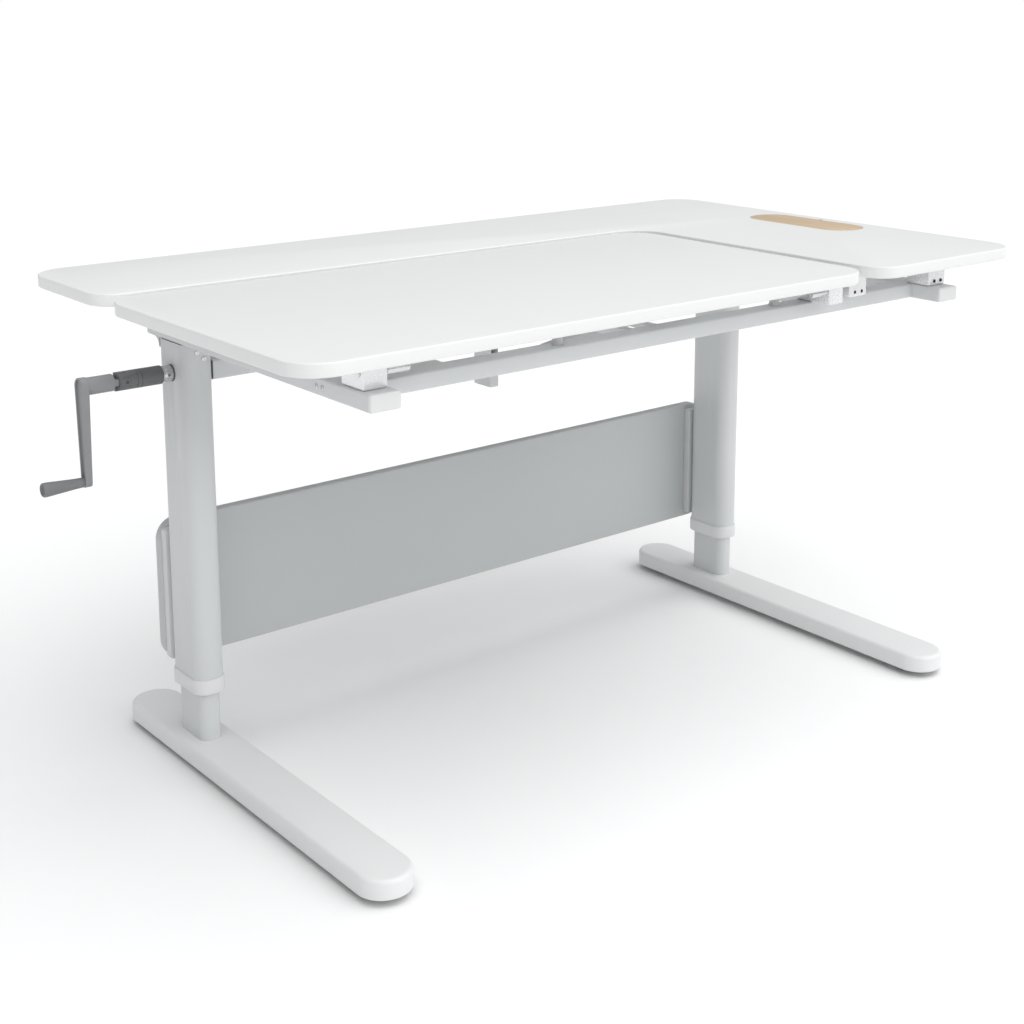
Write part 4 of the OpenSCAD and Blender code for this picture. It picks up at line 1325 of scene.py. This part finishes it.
@dataclass
class Fittings:
    """Folded brackets, their screws, the hinges and the bumpers."""

    sheet: float = 2 * MM
    fold_r: float = 2.8 * MM
    hole_r: float = 2.5 * MM

    def build(self, shop: Paintshop) -> None:
        """Builds the small parts between the frame and the boards."""
        hinges = [self._shoe(s) for s in solids_of("hinge_brackets")]
        shop.hand_over(joined(hinges), "hinge_brackets", "folded_hinge_brackets")
        feet = [self._bracket(s) for s in solids_of("top_brackets")]
        shop.hand_over(joined(feet), "top_brackets", "folded_top_brackets")
        self._bolts(shop)
        self._board_screws(shop)
        self._bumpers(shop)
        self._pins(shop)
        self._leaves(shop)
        self._upper_bracket(shop)
        self._frame_screws(shop)

    def _shoe(self, span: Span) -> bpy.types.Object:
        """Hinge bracket: a floor, a front and two ears, folded from one sheet."""
        shoe = block("shoe", span)
        remove_faces(shoe, faces_along(Z, 1))
        remove_faces(shoe, faces_along(Y, 1))
        def rear_top(v: bmesh.types.BMVert) -> bool:
            return v.co.y > span.high.y - NEAR and v.co.z > span.high.z - NEAR

        with editing(shoe, "VERT"):
            pick(shoe, "verts", rear_top)
            bpy.ops.mesh.bevel(
                offset_type="OFFSET", offset=9 * MM, segments=6, affect="VERTICES"
            )

        def folds(a: Vector, b: Vector) -> bool:
            if min(a.y, b.y) > span.high.y - NEAR:
                return False
            low = max(a.z, b.z) < span.low.z + NEAR
            front = max(a.y, b.y) < span.low.y + NEAR
            step = b - a
            wanted = (low and front, low, front)
            return any(w and abs(s) > 0.9 * step.length for w, s in zip(wanted, step))

        round_edges(shoe, folds, self.fold_r, 4)
        return walled(shoe, self.sheet)

    def _bracket(self, span: Span) -> bpy.types.Object:
        """Board bracket: floor, front, two sides and an upper flange, open at its back."""
        foot = block("foot", span)
        remove_faces(foot, faces_along(Y, 1))
        back = span.high.y - MM / 10

        def folds(a: Vector, b: Vector) -> bool:
            return not (a.y > back and b.y > back)

        round_edges(foot, folds, self.fold_r, 4)
        walled(foot, self.sheet)
        tools = []
        for side in (-1, 1):
            x = span.middle.x + side * span.size.x / 5
            z = span.low.z + 7 * MM
            start = Vector((x, span.low.y - MM, z))
            tools.append(drill(self.hole_r, start, start + Vector((0, 5 * MM, 0))))
        start = span.at(z=span.high.z - 2 * self.sheet)
        tools.append(drill(self.hole_r, start, start + Vector((0, 0, 5 * MM))))
        return cut_by(foot, *tools)

    def _bolts(self, shop: Paintshop) -> None:
        """Dark socket screws in the brackets' front faces."""
        spans = solids_of("bracket_bolts")
        head = ScrewHead(0.6 * spans[0].size.x, 1.6 * MM, Drive.HEX).make()
        front = min(span.low.y for span in spans)
        made = []
        for span in spans:
            seat = Vector((span.middle.x, span.low.y + 2.5 * MM, span.middle.z))
            outer = span.low.y < front + MM
            size = Matrix.Scale(1.0 if outer else 0.7, 4)
            made.append(copied(head, standing(seat, (0, -1, 0)) @ size))
            end = Vector((seat.x, span.high.y, seat.z))
            made.append(rod("shank", 2 * MM, seat, end, 0.4 * MM))
        bpy.data.objects.remove(head)
        shop.hand_over(joined(made), "bracket_bolts", "socket_screws")

    def _board_screws(self, shop: Paintshop) -> None:
        """Bright screws that hold the boards."""
        made = []
        for span in solids_of("board_screws"):
            if abs(span.size.x - span.size.y) < 0.5 * MM:
                seat = span.at(z=span.low.z + 2.5 * MM)
                head = ScrewHead(span.size.x, 2.5 * MM, Drive.CROSS)
                made.append(head.placed(seat, (0, 0, -1)))
                made.append(rod("shank", 2 * MM, seat, span.at(z=span.high.z), 0.3 * MM))
            else:
                head = ScrewHead(span.size.x, span.size.y, Drive.CROSS)
                made.append(head.placed(span.at(y=span.low.y), (0, 1, 0)))
        shop.hand_over(joined(made), "board_screws", "board_screw_heads")

    def _bumpers(self, shop: Paintshop) -> None:
        """Round rubber bumpers with a domed head on a waist."""
        made = []
        for span in solids_of("bumpers"):
            r, h = span.size.x / 2, span.size.z
            outline = [
                (0, 0), (r, 0), (r, 2 * MM), (0.86 * r, 3.5 * MM), (0.84 * r, 0.55 * h),
                (r, 0.68 * h), (r, 0.86 * h), (0.9 * r, 0.95 * h), (0.7 * r, h), (0, h),
            ]
            bumper = turned("bumper", outline, 40)
            made.append(moved(bumper, Matrix.Translation(span.at(z=span.low.z))))
        shop.hand_over(joined(made), "bumpers", "rubber_bumpers")

    def _pins(self, shop: Paintshop) -> None:
        """Hinge pins, each with a flat head at its outer end and a ring groove."""
        made = []
        for span in solids_of("hinge_pins"):
            r, length = span.size.z / 2, span.size.x
            outline = [
                (0, 0), (r - 0.6 * MM, 0), (r, 0.6 * MM), (r, 1.2 * MM), (r - 0.4 * MM, 1.25 * MM),
                (r - 0.4 * MM, 1.45 * MM), (r, 1.5 * MM), (r, length - 0.6 * MM),
                (r - 0.6 * MM, length), (0, length),
            ]
            pin = turned("pin", outline, 32)
            made.append(moved(pin, standing(span.at(x=span.low.x), (1, 0, 0))))
        shop.hand_over(joined(made), "hinge_pins", "turned_hinge_pins")

    def _leaves(self, shop: Paintshop) -> None:
        """Hinge leaves: a plate with screws, a web and a rolled barrel."""
        made = []
        pin = solids_of("hinge_pins")[0].middle
        for span in solids_of("hinge_leaves"):
            plate_low = Vector((span.low.x, pin.y - 5 * MM, span.high.z - 2.5 * MM))
            plate = block("plate", Span(plate_low, span.high))
            round_edges(plate, runs_along(Z, lambda a, b: a.y > pin.y), 4 * MM, 4)
            softened(plate, 0.4 * MM, 1)
            web = block("web", Span(
                Vector((span.low.x, pin.y - 1.5 * MM, pin.z + 3.5 * MM)),
                Vector((span.high.x, pin.y + 1.5 * MM, span.high.z - 1 * MM)),
            ))
            barrel_r = pin.z - span.low.z
            outline = [(PIN_WAY_R, 0), (barrel_r - 0.4 * MM, 0), (barrel_r, 0.4 * MM),
                       (barrel_r, span.size.x - 0.4 * MM), (barrel_r - 0.4 * MM, span.size.x),
                       (PIN_WAY_R, span.size.x), (PIN_WAY_R, 0)]
            barrel = turned("barrel", outline, 36)
            moved(barrel, standing(Vector((span.low.x, pin.y, pin.z)), (1, 0, 0)))
            made += [plate, web, barrel]
            for dx in (-8 * MM, 8 * MM):
                for dy in (18 * MM, 34 * MM):
                    seat = Vector((span.middle.x + dx, pin.y + dy, span.high.z - 2.4 * MM))
                    made.append(ScrewHead(6 * MM, 1.4 * MM, Drive.CROSS).placed(seat, (0, 0, -1)))
        shop.hand_over(joined(made), "hinge_leaves", "hinge_leaf_plates")

    def _upper_bracket(self, shop: Paintshop) -> None:
        """Folded bracket under the panel that holds the strut's upper pin."""
        span = span_of("strut_upper_bracket")
        ear, mid = 2.5 * MM, span.middle.x
        pivot_z = span.low.z + 8 * MM
        pivot_y = span.low.y + 16 * MM
        plate = block("plate", Span(Vector((span.low.x, span.low.y, span.high.z - ear)), span.high))
        softened(round_edges(plate, runs_along(Z), 3 * MM, 4), 0.4 * MM, 1)
        parts = [plate]
        for side in (-1, 1):
            outer = span.size.x / 2
            x0 = min(mid + side * outer, mid + side * (outer - ear))
            low = Vector((x0, pivot_y - 8 * MM, pivot_z - 8 * MM))
            high = Vector((x0 + ear, pivot_y + 8 * MM, span.high.z - ear / 2))
            cheek = block("cheek", Span(low, high))
            below = low.z + MM / 10
            round_edges(
                cheek, runs_along(X, lambda a, b, z=below: max(a.z, b.z) < z), 7.9 * MM, 8
            )
            parts.append(softened(cheek, 0.3 * MM, 1))
        out = 0.2 * MM
        start = Vector((span.low.x + out, pivot_y, pivot_z))
        end = Vector((span.high.x - out, pivot_y, pivot_z))
        parts.append(rod("pin", 2.5 * MM, start, end, 0.4 * MM))
        shop.hand_over(joined(parts), "strut_upper_bracket", "strut_upper_fork")

    def _frame_screws(self, shop: Paintshop) -> None:
        """Small bright screws on the arms' and columns' faces."""
        made = []
        screw = ScrewHead(6.5 * MM, 1.4 * MM, Drive.CROSS)
        for side in SIDES:
            column, arm = span_of(f"{side}_outer_tube"), span_of(f"{side}_arm")
            for dx, drop in ((-4.5 * MM, 9 * MM), (4.5 * MM, 18 * MM)):
                seat = Vector((column.middle.x + dx, column.low.y, column.high.z - drop))
                made.append(screw.placed(seat, (0, -1, 0)))
            for back in (90 * MM, 102 * MM):
                seat = Vector((arm.low.x, arm.low.y + back, arm.middle.z))
                made.append(screw.placed(seat, (-1, 0, 0)))
        shop.dress(joined(made), "steel", "upper_frame", "frame_screw_heads")
        log.info("frame_screw_heads added on upper_frame")


# ---- boards ----


@dataclass
class Boards:
    """The fixed top, the tilting panel, the wooden cover and the modesty panel."""

    corner_r: float = 50 * MM
    panel_front_r: float = 46 * MM
    seam_r: float = 37 * MM
    edge_r: float = 1.8 * MM
    cover_gap: float = 0.5 * MM
    ledge: float = 6 * MM
    notch_r: float = 5.5 * MM
    modesty_r: float = 28 * MM
    side_seam: float = 10 * MM
    rear_seam: float = 7 * MM

    def build(self, shop: Paintshop) -> None:
        """Builds the boards from the top down."""
        self._fixed_top(shop)
        self._panel(shop)
        self._cover(shop)
        self._modesty(shop)

    def _fixed_top(self, shop: Paintshop) -> None:
        """The L-shaped fixed board with the rebate and way of the cable outlet."""
        span = span_of("fixed_top")
        panel = span_of("tilt_panel")
        seam_x = panel.high.x + self.side_seam
        seam_y = panel.high.y + self.rear_seam
        board = block("fixed_top", Span(Vector((span.low.x, seam_y, span.low.z)), span.high))
        with editing(board, "FACE"):
            bpy.ops.mesh.select_all(action="SELECT")
            bpy.ops.mesh.bisect(plane_co=(seam_x, 0, 0), plane_no=(1, 0, 0))
            pick_faces(board, lambda c, n: n.y < -0.9 and c.x > seam_x)
            bpy.ops.mesh.extrude_region_move(
                TRANSFORM_OT_translate={"value": (0, span.low.y - seam_y, 0)}
            )
            bpy.ops.mesh.select_all(action="SELECT")
            bpy.ops.mesh.remove_doubles(threshold=MERGE)
            bpy.ops.mesh.dissolve_limited(angle_limit=math.radians(1))
        for x, y, radius in (
            (seam_x, span.low.y, self.seam_r),
            (span.high.x, span.low.y, self.corner_r),
            (span.high.x, span.high.y, self.corner_r),
            (span.low.x, span.high.y, self.corner_r),
            (span.low.x, seam_y, self.seam_r),
            (seam_x, seam_y, self.corner_r),
        ):
            round_upright(board, x, y, radius)
        softened(board, self.edge_r, 4)
        self._outlet(board, span)
        shop.hand_over(board, "fixed_top", "fixed_board")

    def _outlet(self, board: bpy.types.Object, span: Span) -> None:
        """Cuts the cover's rebate, the way for leads and the cable notch."""
        cover = span_of("cable_cover")
        gap = self.cover_gap
        out = Vector((0, 0, 5 * MM))
        rebate = pill("rebate", Span(cover.low, cover.high + out).grown(gap, gap, 0))
        through = Span(cover.low - 4 * out, cover.high + out)
        way = pill("way", through.grown(gap - self.ledge, gap - self.ledge, 0))
        notch_at = self.notch_place()
        start = Vector((notch_at.x, notch_at.y, span.low.z - MM))
        notch = rod("notch", self.notch_r, start, start + Vector((0, 0, 24 * MM)), 0.05 * MM)
        reach = Span(
            start + Vector((-self.ledge - 3 * MM, -self.notch_r * 0.999, 0)),
            start + Vector((0, self.notch_r * 0.999, 24 * MM)),
        )
        cut_by(board, rebate, way, notch, block("reach", reach))

    @staticmethod
    def notch_place() -> Vector:
        """Middle of the cable notch, on the cover's right edge."""
        cover = span_of("cable_cover")
        return Vector((cover.high.x, cover.middle.y + 4 * MM, cover.high.z))

    def _panel(self, shop: Paintshop) -> None:
        """The tilting board."""
        span = span_of("tilt_panel")
        board = block("panel", span)
        for x, y, radius in (
            (span.low.x, span.low.y, self.panel_front_r),
            (span.high.x, span.low.y, self.panel_front_r),
            (span.high.x, span.high.y, self.corner_r),
            (span.low.x, span.high.y, self.panel_front_r),
        ):
            round_upright(board, x, y, radius)
        softened(board, self.edge_r, 4)
        shop.hand_over(board, "tilt_panel", "tilting_board")

    def _cover(self, shop: Paintshop) -> None:
        """The lift-off wooden cover of the cable outlet."""
        span = span_of("cable_cover")
        cover = pill("cover", span, 24)
        softened(cover, 0.7 * MM, 2)
        at = self.notch_place()
        start = Vector((at.x, at.y, span.low.z - 2 * MM))
        end = start + Vector((0, 0, 14 * MM))
        cut_by(cover, rod("notch", self.notch_r, start, end, 0.05 * MM))
        shop.hand_over(cover, "cable_cover", "oak_cable_cover")

    def _modesty(self, shop: Paintshop) -> None:
        """The grey board between the columns."""
        span = span_of("modesty_panel")
        board = block("modesty", span)
        round_edges(board, runs_along(Y), self.modesty_r, 12)
        softened(board, 2.6 * MM, 4)
        shop.hand_over(board, "modesty_panel", "modesty_board")


# ---- crank ----


@dataclass
class Crank:
    """Socket, sleeve, knuckle, tube, arm and grip of the crank."""

    pin_r: float = 3 * MM
    arm_top_r: float = 12 * MM
    arm_low_r: float = 7 * MM
    sunk: float = 2.5 * MM
    eye_r: float = 9 * MM

    def build(self, shop: Paintshop) -> None:
        """Builds the crank from the column outwards."""
        self._socket(shop)
        self._sleeve(shop)
        self._fork(shop)
        self._pin(shop)
        self._tube(shop)
        self._arm(shop)
        self._grip(shop)

    def _along(self, obj: bpy.types.Object, span: Span) -> bpy.types.Object:
        """Lays a turned shape along -X from the right end of a box."""
        return moved(obj, standing(span.at(x=span.high.x), (-1, 0, 0)))

    def _socket(self, shop: Paintshop) -> None:
        """Bright socket with a cross hole and turned grooves."""
        span = span_of("crank_socket")
        r, length = span.size.z / 2, span.size.x
        outline = [
            (4.02 * MM, 0), (r - 1.2 * MM, 0), (r - 0.3 * MM, 0.6 * MM), (r, 1.4 * MM),
            (r, length - 2.6 * MM), (r - 0.7 * MM, length - 2.3 * MM),
            (r - 0.7 * MM, length - 1.7 * MM), (r, length - 1.4 * MM), (r, length - 0.5 * MM),
            (r - 0.5 * MM, length), (4.02 * MM, length), (4.02 * MM, 0),
        ]
        socket = self._along(turned("socket", outline, 56), span)
        hole = span.at(y=span.low.y - MM)
        cut_by(socket, drill(2 * MM, hole, hole + Vector((0, span.size.y / 2, 0))))
        shop.hand_over(socket, "crank_socket", "bright_socket")

    def _sleeve(self, shop: Paintshop) -> None:
        """Dark sleeve with a seam near its outer end."""
        span = span_of("crank_sleeve")
        r, length = span.size.z / 2, span.size.x
        seam = length - 6 * MM
        outline = [
            (0, 0), (r - 1 * MM, 0), (r - 0.3 * MM, 0.4 * MM), (r, 1.2 * MM), (r, seam),
            (r - 0.6 * MM, seam + 0.2 * MM), (r - 0.6 * MM, seam + 0.8 * MM), (r, seam + MM),
            (r, length - 0.3 * MM), (r - 0.3 * MM, length), (0, length),
        ]
        sleeve = self._along(turned("sleeve", outline, 56), span)
        shop.hand_over(sleeve, "crank_sleeve", "dark_sleeve")

    def _fork(self, shop: Paintshop) -> None:
        """Fork of the knuckle, with cheeks above and below the tongue."""
        span = span_of("knuckle_fork")
        pin = span_of("knuckle_pin")
        r = span.size.z / 2
        fork = rod("fork", r, span.at(x=span.high.x), span.at(x=span.low.x - 5 * MM), 0.8 * MM)
        room = Span(
            Vector((span.low.x, span.low.y - MM, span.low.z - MM)),
            Vector((span.high.x + MM, span.high.y + MM, span.high.z + MM)),
        )
        keep = block("keep", room)
        for y in (room.low.y, room.high.y):
            round_upright(keep, room.low.x, y, r)
        common_with(fork, keep)
        half = 4.8 * MM
        slot = Span(
            Vector((span.low.x - MM, span.middle.y - self.eye_r - 0.3 * MM, span.middle.z - half)),
            Vector((pin.middle.x + r + 0.5 * MM, span.high.y + 2 * MM, span.middle.z + half)),
        )
        button = pin.at(y=span.low.y - MM)
        dimple = drill(4.2 * MM, button, button + Vector((0, 1.5 * MM, 0)))
        bore = drill(2 * MM, button, button + Vector((0, 3.2 * MM, 0)))
        cut_by(fork, block("slot", slot), dimple, bore)
        softened(fork, 0.4 * MM, 2, math.radians(60))
        shop.hand_over(fork, "knuckle_fork", "knuckle_cheeks")

    def _pin(self, shop: Paintshop) -> None:
        """Upright pin of the knuckle, with a turned centre mark."""
        span = span_of("knuckle_pin")
        r, h = self.pin_r, span.size.z
        outline = [
            (0, 0.4 * MM), (0.8 * MM, 0), (r - 0.5 * MM, 0), (r, 0.5 * MM), (r, h - 0.5 * MM),
            (r - 0.5 * MM, h), (0.8 * MM, h), (0, h - 0.4 * MM),
        ]
        pin = turned("pin", outline, 36)
        moved(pin, Matrix.Translation(span.at(z=span.low.z)))
        shop.hand_over(pin, "knuckle_pin", "turned_knuckle_pin")

    def _tube(self, shop: Paintshop) -> None:
        """Grey tube with the flat tongue that turns on the knuckle's pin."""
        span = span_of("crank_tube")
        arm = span_of("crank_arm")
        pin = span_of("knuckle_pin")
        r, half = 11 * MM, 4.5 * MM
        outer = span.at(x=arm.high.x)
        inner = span.at(x=outer.x + 35 * MM)
        tube = rod("tube", r, inner, outer, 1.2 * MM)
        tongue = block("tongue", Span(
            Vector((inner.x - 2 * MM, span.middle.y - 7 * MM, span.middle.z - half)),
            Vector((pin.middle.x, span.middle.y + 7 * MM, span.middle.z + half)),
        ))
        softened(tongue, 0.6 * MM, 2)
        eye_r = self.eye_r
        outline = [
            (self.pin_r + 0.05 * MM, 0), (eye_r - 0.6 * MM, 0), (eye_r, 0.6 * MM),
            (eye_r, 2 * half - 0.6 * MM), (eye_r - 0.6 * MM, 2 * half),
            (self.pin_r + 0.05 * MM, 2 * half), (self.pin_r + 0.05 * MM, 0),
        ]
        eye = turned("eye", outline, 40)
        moved(eye, Matrix.Translation((pin.middle.x, pin.middle.y, span.middle.z - half)))
        shop.hand_over(joined([tube, tongue, eye]), "crank_tube", "grey_crank_tube")

    def _arm(self, shop: Paintshop) -> None:
        """Flat tapered arm with a sunk outer face."""
        span = span_of("crank_arm")
        top = Vector((span.high.x, span.middle.y, span.high.z - self.arm_top_r))
        low_z = span.low.z + self.arm_low_r
        release()
        bpy.ops.mesh.primitive_circle_add(
            vertices=56, radius=self.arm_top_r, fill_type="NGON", location=top,
            rotation=(0, -math.pi / 2, 0),
        )
        arm = settle(bpy.context.object)
        with editing(arm, "VERT"):
            pick(arm, "verts", lambda v: v.co.z < top.z - MM / 100)
            share = self.arm_low_r / self.arm_top_r
            bpy.ops.transform.resize(value=(1, share, share), center_override=top)
            bpy.ops.transform.translate(value=(0, 0, low_z - top.z))
            bpy.ops.mesh.select_mode(type="FACE")
            bpy.ops.mesh.select_all(action="SELECT")
            bpy.ops.mesh.extrude_region_move(
                TRANSFORM_OT_translate={"value": (-span.size.x, 0, 0)}
            )
            bpy.ops.mesh.select_all(action="SELECT")
            bpy.ops.mesh.normals_make_consistent(inside=False)
        outer = span.low.x
        round_edges(arm, lies_at(X, outer), 0.8 * MM, 3)
        with editing(arm, "FACE"):
            pick_faces(arm, faces_along(X, -1))
            bpy.ops.mesh.inset(thickness=1.6 * MM)
            bpy.ops.mesh.extrude_region_move(
                TRANSFORM_OT_translate={"value": (self.sunk, 0, 0)}
            )
            bpy.ops.transform.resize(
                value=(1, 0.97, 0.995), center_override=(span.middle.x, span.middle.y, top.z)
            )
        seat = Vector((outer + self.sunk + 0.1 * MM, top.y, low_z))
        r, deep, hole = self.arm_low_r, self.sunk, 2.52 * MM
        boss = turned(
            "boss",
            [(hole, 0), (r - 1.7 * MM, 0), (r - 1.7 * MM, deep - 0.3 * MM),
             (r - 2.1 * MM, deep), (hole, deep), (hole, 0)],
            40,
        )
        moved(boss, standing(seat, (-1, 0, 0)))
        shop.hand_over(joined([arm, boss]), "crank_arm", "tapered_crank_arm")

    def _grip(self, shop: Paintshop) -> None:
        """Grip that swells outwards to a dished end."""
        span = span_of("crank_grip")
        r, length = span.size.z / 2, span.size.x
        neck, bore = 0.69 * r, 2.55 * MM
        outline = [
            (bore, 0), (neck - 0.6 * MM, 0), (neck, 0.6 * MM), (neck, 2.2 * MM),
            (neck - 0.5 * MM, 2.6 * MM), (neck - 0.5 * MM, 3.2 * MM), (neck + 0.1 * MM, 3.6 * MM),
            (neck + 0.3 * MM, 0.2 * length), (neck + 1 * MM, 0.4 * length),
            (r - 0.9 * MM, 0.65 * length), (r - 0.15 * MM, 0.85 * length),
            (r, length - 4 * MM), (r - 0.1 * MM, length - 1.8 * MM),
            (r - 0.5 * MM, length - 0.7 * MM), (r - 1.3 * MM, length - 0.1 * MM),
            (r - 1.9 * MM, length), (r - 2.6 * MM, length - 0.5 * MM),
            (r - 3.4 * MM, length - 2 * MM), (r - 4.6 * MM, length - 3 * MM),
            (bore, length - 3.4 * MM), (bore, 0),
        ]
        grip = self._along(turned("grip", outline, 56), span)
        shop.hand_over(grip, "crank_grip", "swelling_grip")
        span = span_of("grip_pin")
        r, length = span.size.z / 2, span.size.x
        outline = [
            (0, 0), (r - 0.4 * MM, 0), (r, 0.4 * MM), (r, length - 0.5 * MM),
            (r - 0.5 * MM, length), (0.9 * MM, length), (0, length - 0.5 * MM),
        ]
        pin = self._along(turned("pin", outline, 36), span)
        shop.hand_over(pin, "grip_pin", "turned_grip_pin")


# ---- strut ----


@dataclass
class Strut:
    """The telescopic strut between the hanging post and the panel."""

    eye_r: float = 7.5 * MM
    eye_w: float = 9 * MM
    rod_r: float = 4 * MM
    tube_r: float = 9 * MM
    tube_l: float = 235 * MM
    open_hole_r: float = 6.2 * MM
    open_eye_r: float = 9.2 * MM
    length: float = 392.39 * MM

    def build(self, shop: Paintshop) -> None:
        """Builds rod and cylinder along the strut's own axis."""
        foot = Vector(joint_named("strut_swing")["pos_m"])
        foot.x = span_of("strut_rod").middle.x
        axis = Vector(joint_named("strut_extend")["axis"])
        stand = standing(foot, axis)
        self._rod(shop, stand)
        self._cylinder(shop, stand)

    def _eye(self, at: float, outer: float, hole: float, stand: Matrix) -> bpy.types.Object:
        """An eye across the strut, at a distance from its foot."""
        half = self.eye_w / 2
        edge = 0.6 * MM
        outline = [
            (hole, 0), (outer - edge, 0), (outer, edge), (outer, 2 * half - edge),
            (outer - edge, 2 * half), (hole, 2 * half), (hole, 0),
        ]
        eye = turned("eye", outline, 40)
        centre = stand @ Vector((0, 0, at))
        return moved(eye, standing(centre - Vector((half, 0, 0)), (1, 0, 0)))

    def _rod(self, shop: Paintshop, stand: Matrix) -> None:
        """Bright rod with the lower eye and its piston."""
        end = self.length - 26 * MM
        outline = [
            (0, self.eye_r - 2 * MM), (self.rod_r + 1.5 * MM, self.eye_r - 2 * MM),
            (self.rod_r + 1.5 * MM, self.eye_r + 8 * MM), (self.rod_r, self.eye_r + 10 * MM),
            (self.rod_r, end - 12 * MM), (self.tube_r - 2.4 * MM, end - 12 * MM),
            (self.tube_r - 2.4 * MM, end), (0, end),
        ]
        shaft = moved(turned("shaft", outline, 36), stand)
        eye = self._eye(0, self.eye_r, PIN_WAY_R, stand)
        shop.hand_over(joined([shaft, eye]), "strut_rod", "strut_bright_rod")

    def _cylinder(self, shop: Paintshop, stand: Matrix) -> None:
        """Painted cylinder with its gland ring and the open upper eye."""
        top = self.length - 15 * MM
        start = top - self.tube_l
        r, way = self.tube_r, self.rod_r + 0.1 * MM
        outline = [
            (way, start), (r - 1 * MM, start), (r, start + MM),
            (r, start + 8 * MM), (r - 0.6 * MM, start + 8.6 * MM), (r - 0.6 * MM, start + 10 * MM),
            (r, start + 10.6 * MM), (r, top - 2 * MM), (r - 2 * MM, top), (self.rod_r, top),
            (self.rod_r, self.length - self.open_eye_r + MM),
            (0, self.length - self.open_eye_r + MM), (0, top - 6 * MM),
            (r - 2 * MM, top - 6 * MM), (r - 2 * MM, start + 10 * MM),
            (way, start + 10 * MM), (way, start),
        ]
        tube = moved(turned("cylinder", outline, 44), stand)
        eye = self._eye(self.length, self.open_eye_r, self.open_hole_r, stand)
        shop.hand_over(joined([tube, eye]), "strut_cylinder", "strut_painted_cylinder")


# ---- studio ----


@dataclass(frozen=True)
class Studio:
    """Pale floor, soft lights and the camera."""

    camera_at: tuple[float, float, float] = (-1398.3, -1684.3, 1007.0)
    camera_yaw: float = 50.876
    camera_pitch: float = -11.271
    lens: float = 56.486
    shift: tuple[float, float] = (-0.01809, -0.2)
    floor_size: float = 40.0

    def build(self) -> None:
        """Builds the floor, the lights and the camera."""
        self._floor()
        self._world()
        middle = span_of("fixed_top").middle
        sky = bpy.data.lights.new("overhead", "SUN")
        sky.angle = math.radians(95)
        sky.energy = 2.75
        self._hang(sky, middle + Vector((0.35, -1.0, 2.0)), middle)
        front = bpy.data.lights.new("front", "AREA")
        front.shape = "SQUARE"
        front.size = 2.4
        front.energy = 3.0
        self._hang(front, middle + Vector((0.6, -3.2, 0.4)), middle)
        self._camera()
        view = bpy.context.scene.view_settings
        view.view_transform = "Standard"
        view.look = "None"

    def _floor(self) -> None:
        """A plain pale floor."""
        release()
        bpy.ops.mesh.primitive_grid_add(
            x_subdivisions=8, y_subdivisions=8, size=self.floor_size, location=(0, 0, 0)
        )
        floor = bpy.context.object
        floor.name = "floor"
        material = bpy.data.materials.new("pale_floor")
        material.use_nodes = True
        shader = material.node_tree.nodes["Principled BSDF"]
        shader.inputs["Base Color"].default_value = (0.95, 0.95, 0.95, 1.0)
        shader.inputs["Roughness"].default_value = 0.9
        shader.inputs["Specular IOR Level"].default_value = 0.1
        floor.data.materials.append(material)

    @staticmethod
    def _world() -> None:
        """White surroundings for the camera, dimmer for the light that they give."""
        world = bpy.data.worlds.new("studio")
        bpy.context.scene.world = world
        world.use_nodes = True
        sheet = Sheet(world.node_tree)
        seen = sheet.add("ShaderNodeBackground", Color=WHITE, Strength=1.0)
        lit = sheet.add("ShaderNodeBackground", Color=(0.97, 0.985, 1.0, 1.0), Strength=0.36)
        path = sheet.add("ShaderNodeLightPath")
        mix = sheet.add("ShaderNodeMixShader", Fac=path.outputs["Is Camera Ray"])
        links = sheet.tree.links
        links.new(lit.outputs[0], mix.inputs[1])
        links.new(seen.outputs[0], mix.inputs[2])
        out = sheet.add("ShaderNodeOutputWorld")
        links.new(mix.outputs[0], out.inputs["Surface"])

    @staticmethod
    def _hang(light: bpy.types.Light, at: Vector, target: Vector) -> None:
        """Hangs a light at a place, looking at a target."""
        lamp = bpy.data.objects.new(light.name, light)
        lamp.location = at
        lamp.rotation_euler = (target - at).to_track_quat("-Z", "Y").to_euler()
        bpy.context.scene.collection.objects.link(lamp)

    def _camera(self) -> None:
        """The camera, placed from the worktop's middle."""
        data = bpy.data.cameras.new("camera")
        data.lens = self.lens
        data.sensor_width = 36.0
        data.shift_x, data.shift_y = self.shift
        camera = bpy.data.objects.new("camera", data)
        side = Vector((span_of("fixed_top").middle.x, 0, 0))
        camera.location = Vector(self.camera_at) * MM + side
        camera.rotation_euler = (
            math.radians(90 + self.camera_pitch), 0, math.radians(self.camera_yaw - 90)
        )
        bpy.context.scene.collection.objects.link(camera)
        bpy.context.scene.camera = camera


# ---- the whole desk ----


def main() -> None:
    """Builds the desk's pieces in order, then its studio."""
    logging.basicConfig(level=logging.INFO, format="%(name)s: %(message)s")
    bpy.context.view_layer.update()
    shop = Paintshop()
    Boards().build(shop)
    for side in SIDES:
        pads = (f"{side}_front_pad", f"{side}_rear_pad")
        Foot(f"{side}_foot", pad_nodes=pads).build(shop)
        for pad in pads:
            LevellingPad(pad).build(shop)
    Columns().build(shop)
    UpperFrame().build(shop)
    Fittings().build(shop)
    Crank().build(shop)
    Strut().build(shop)
    shop.paint_kept_nodes()
    Studio().build()
    release()
    log.info("%d finished pieces", len(shop.done))


if __name__ == "__main__":
    main()
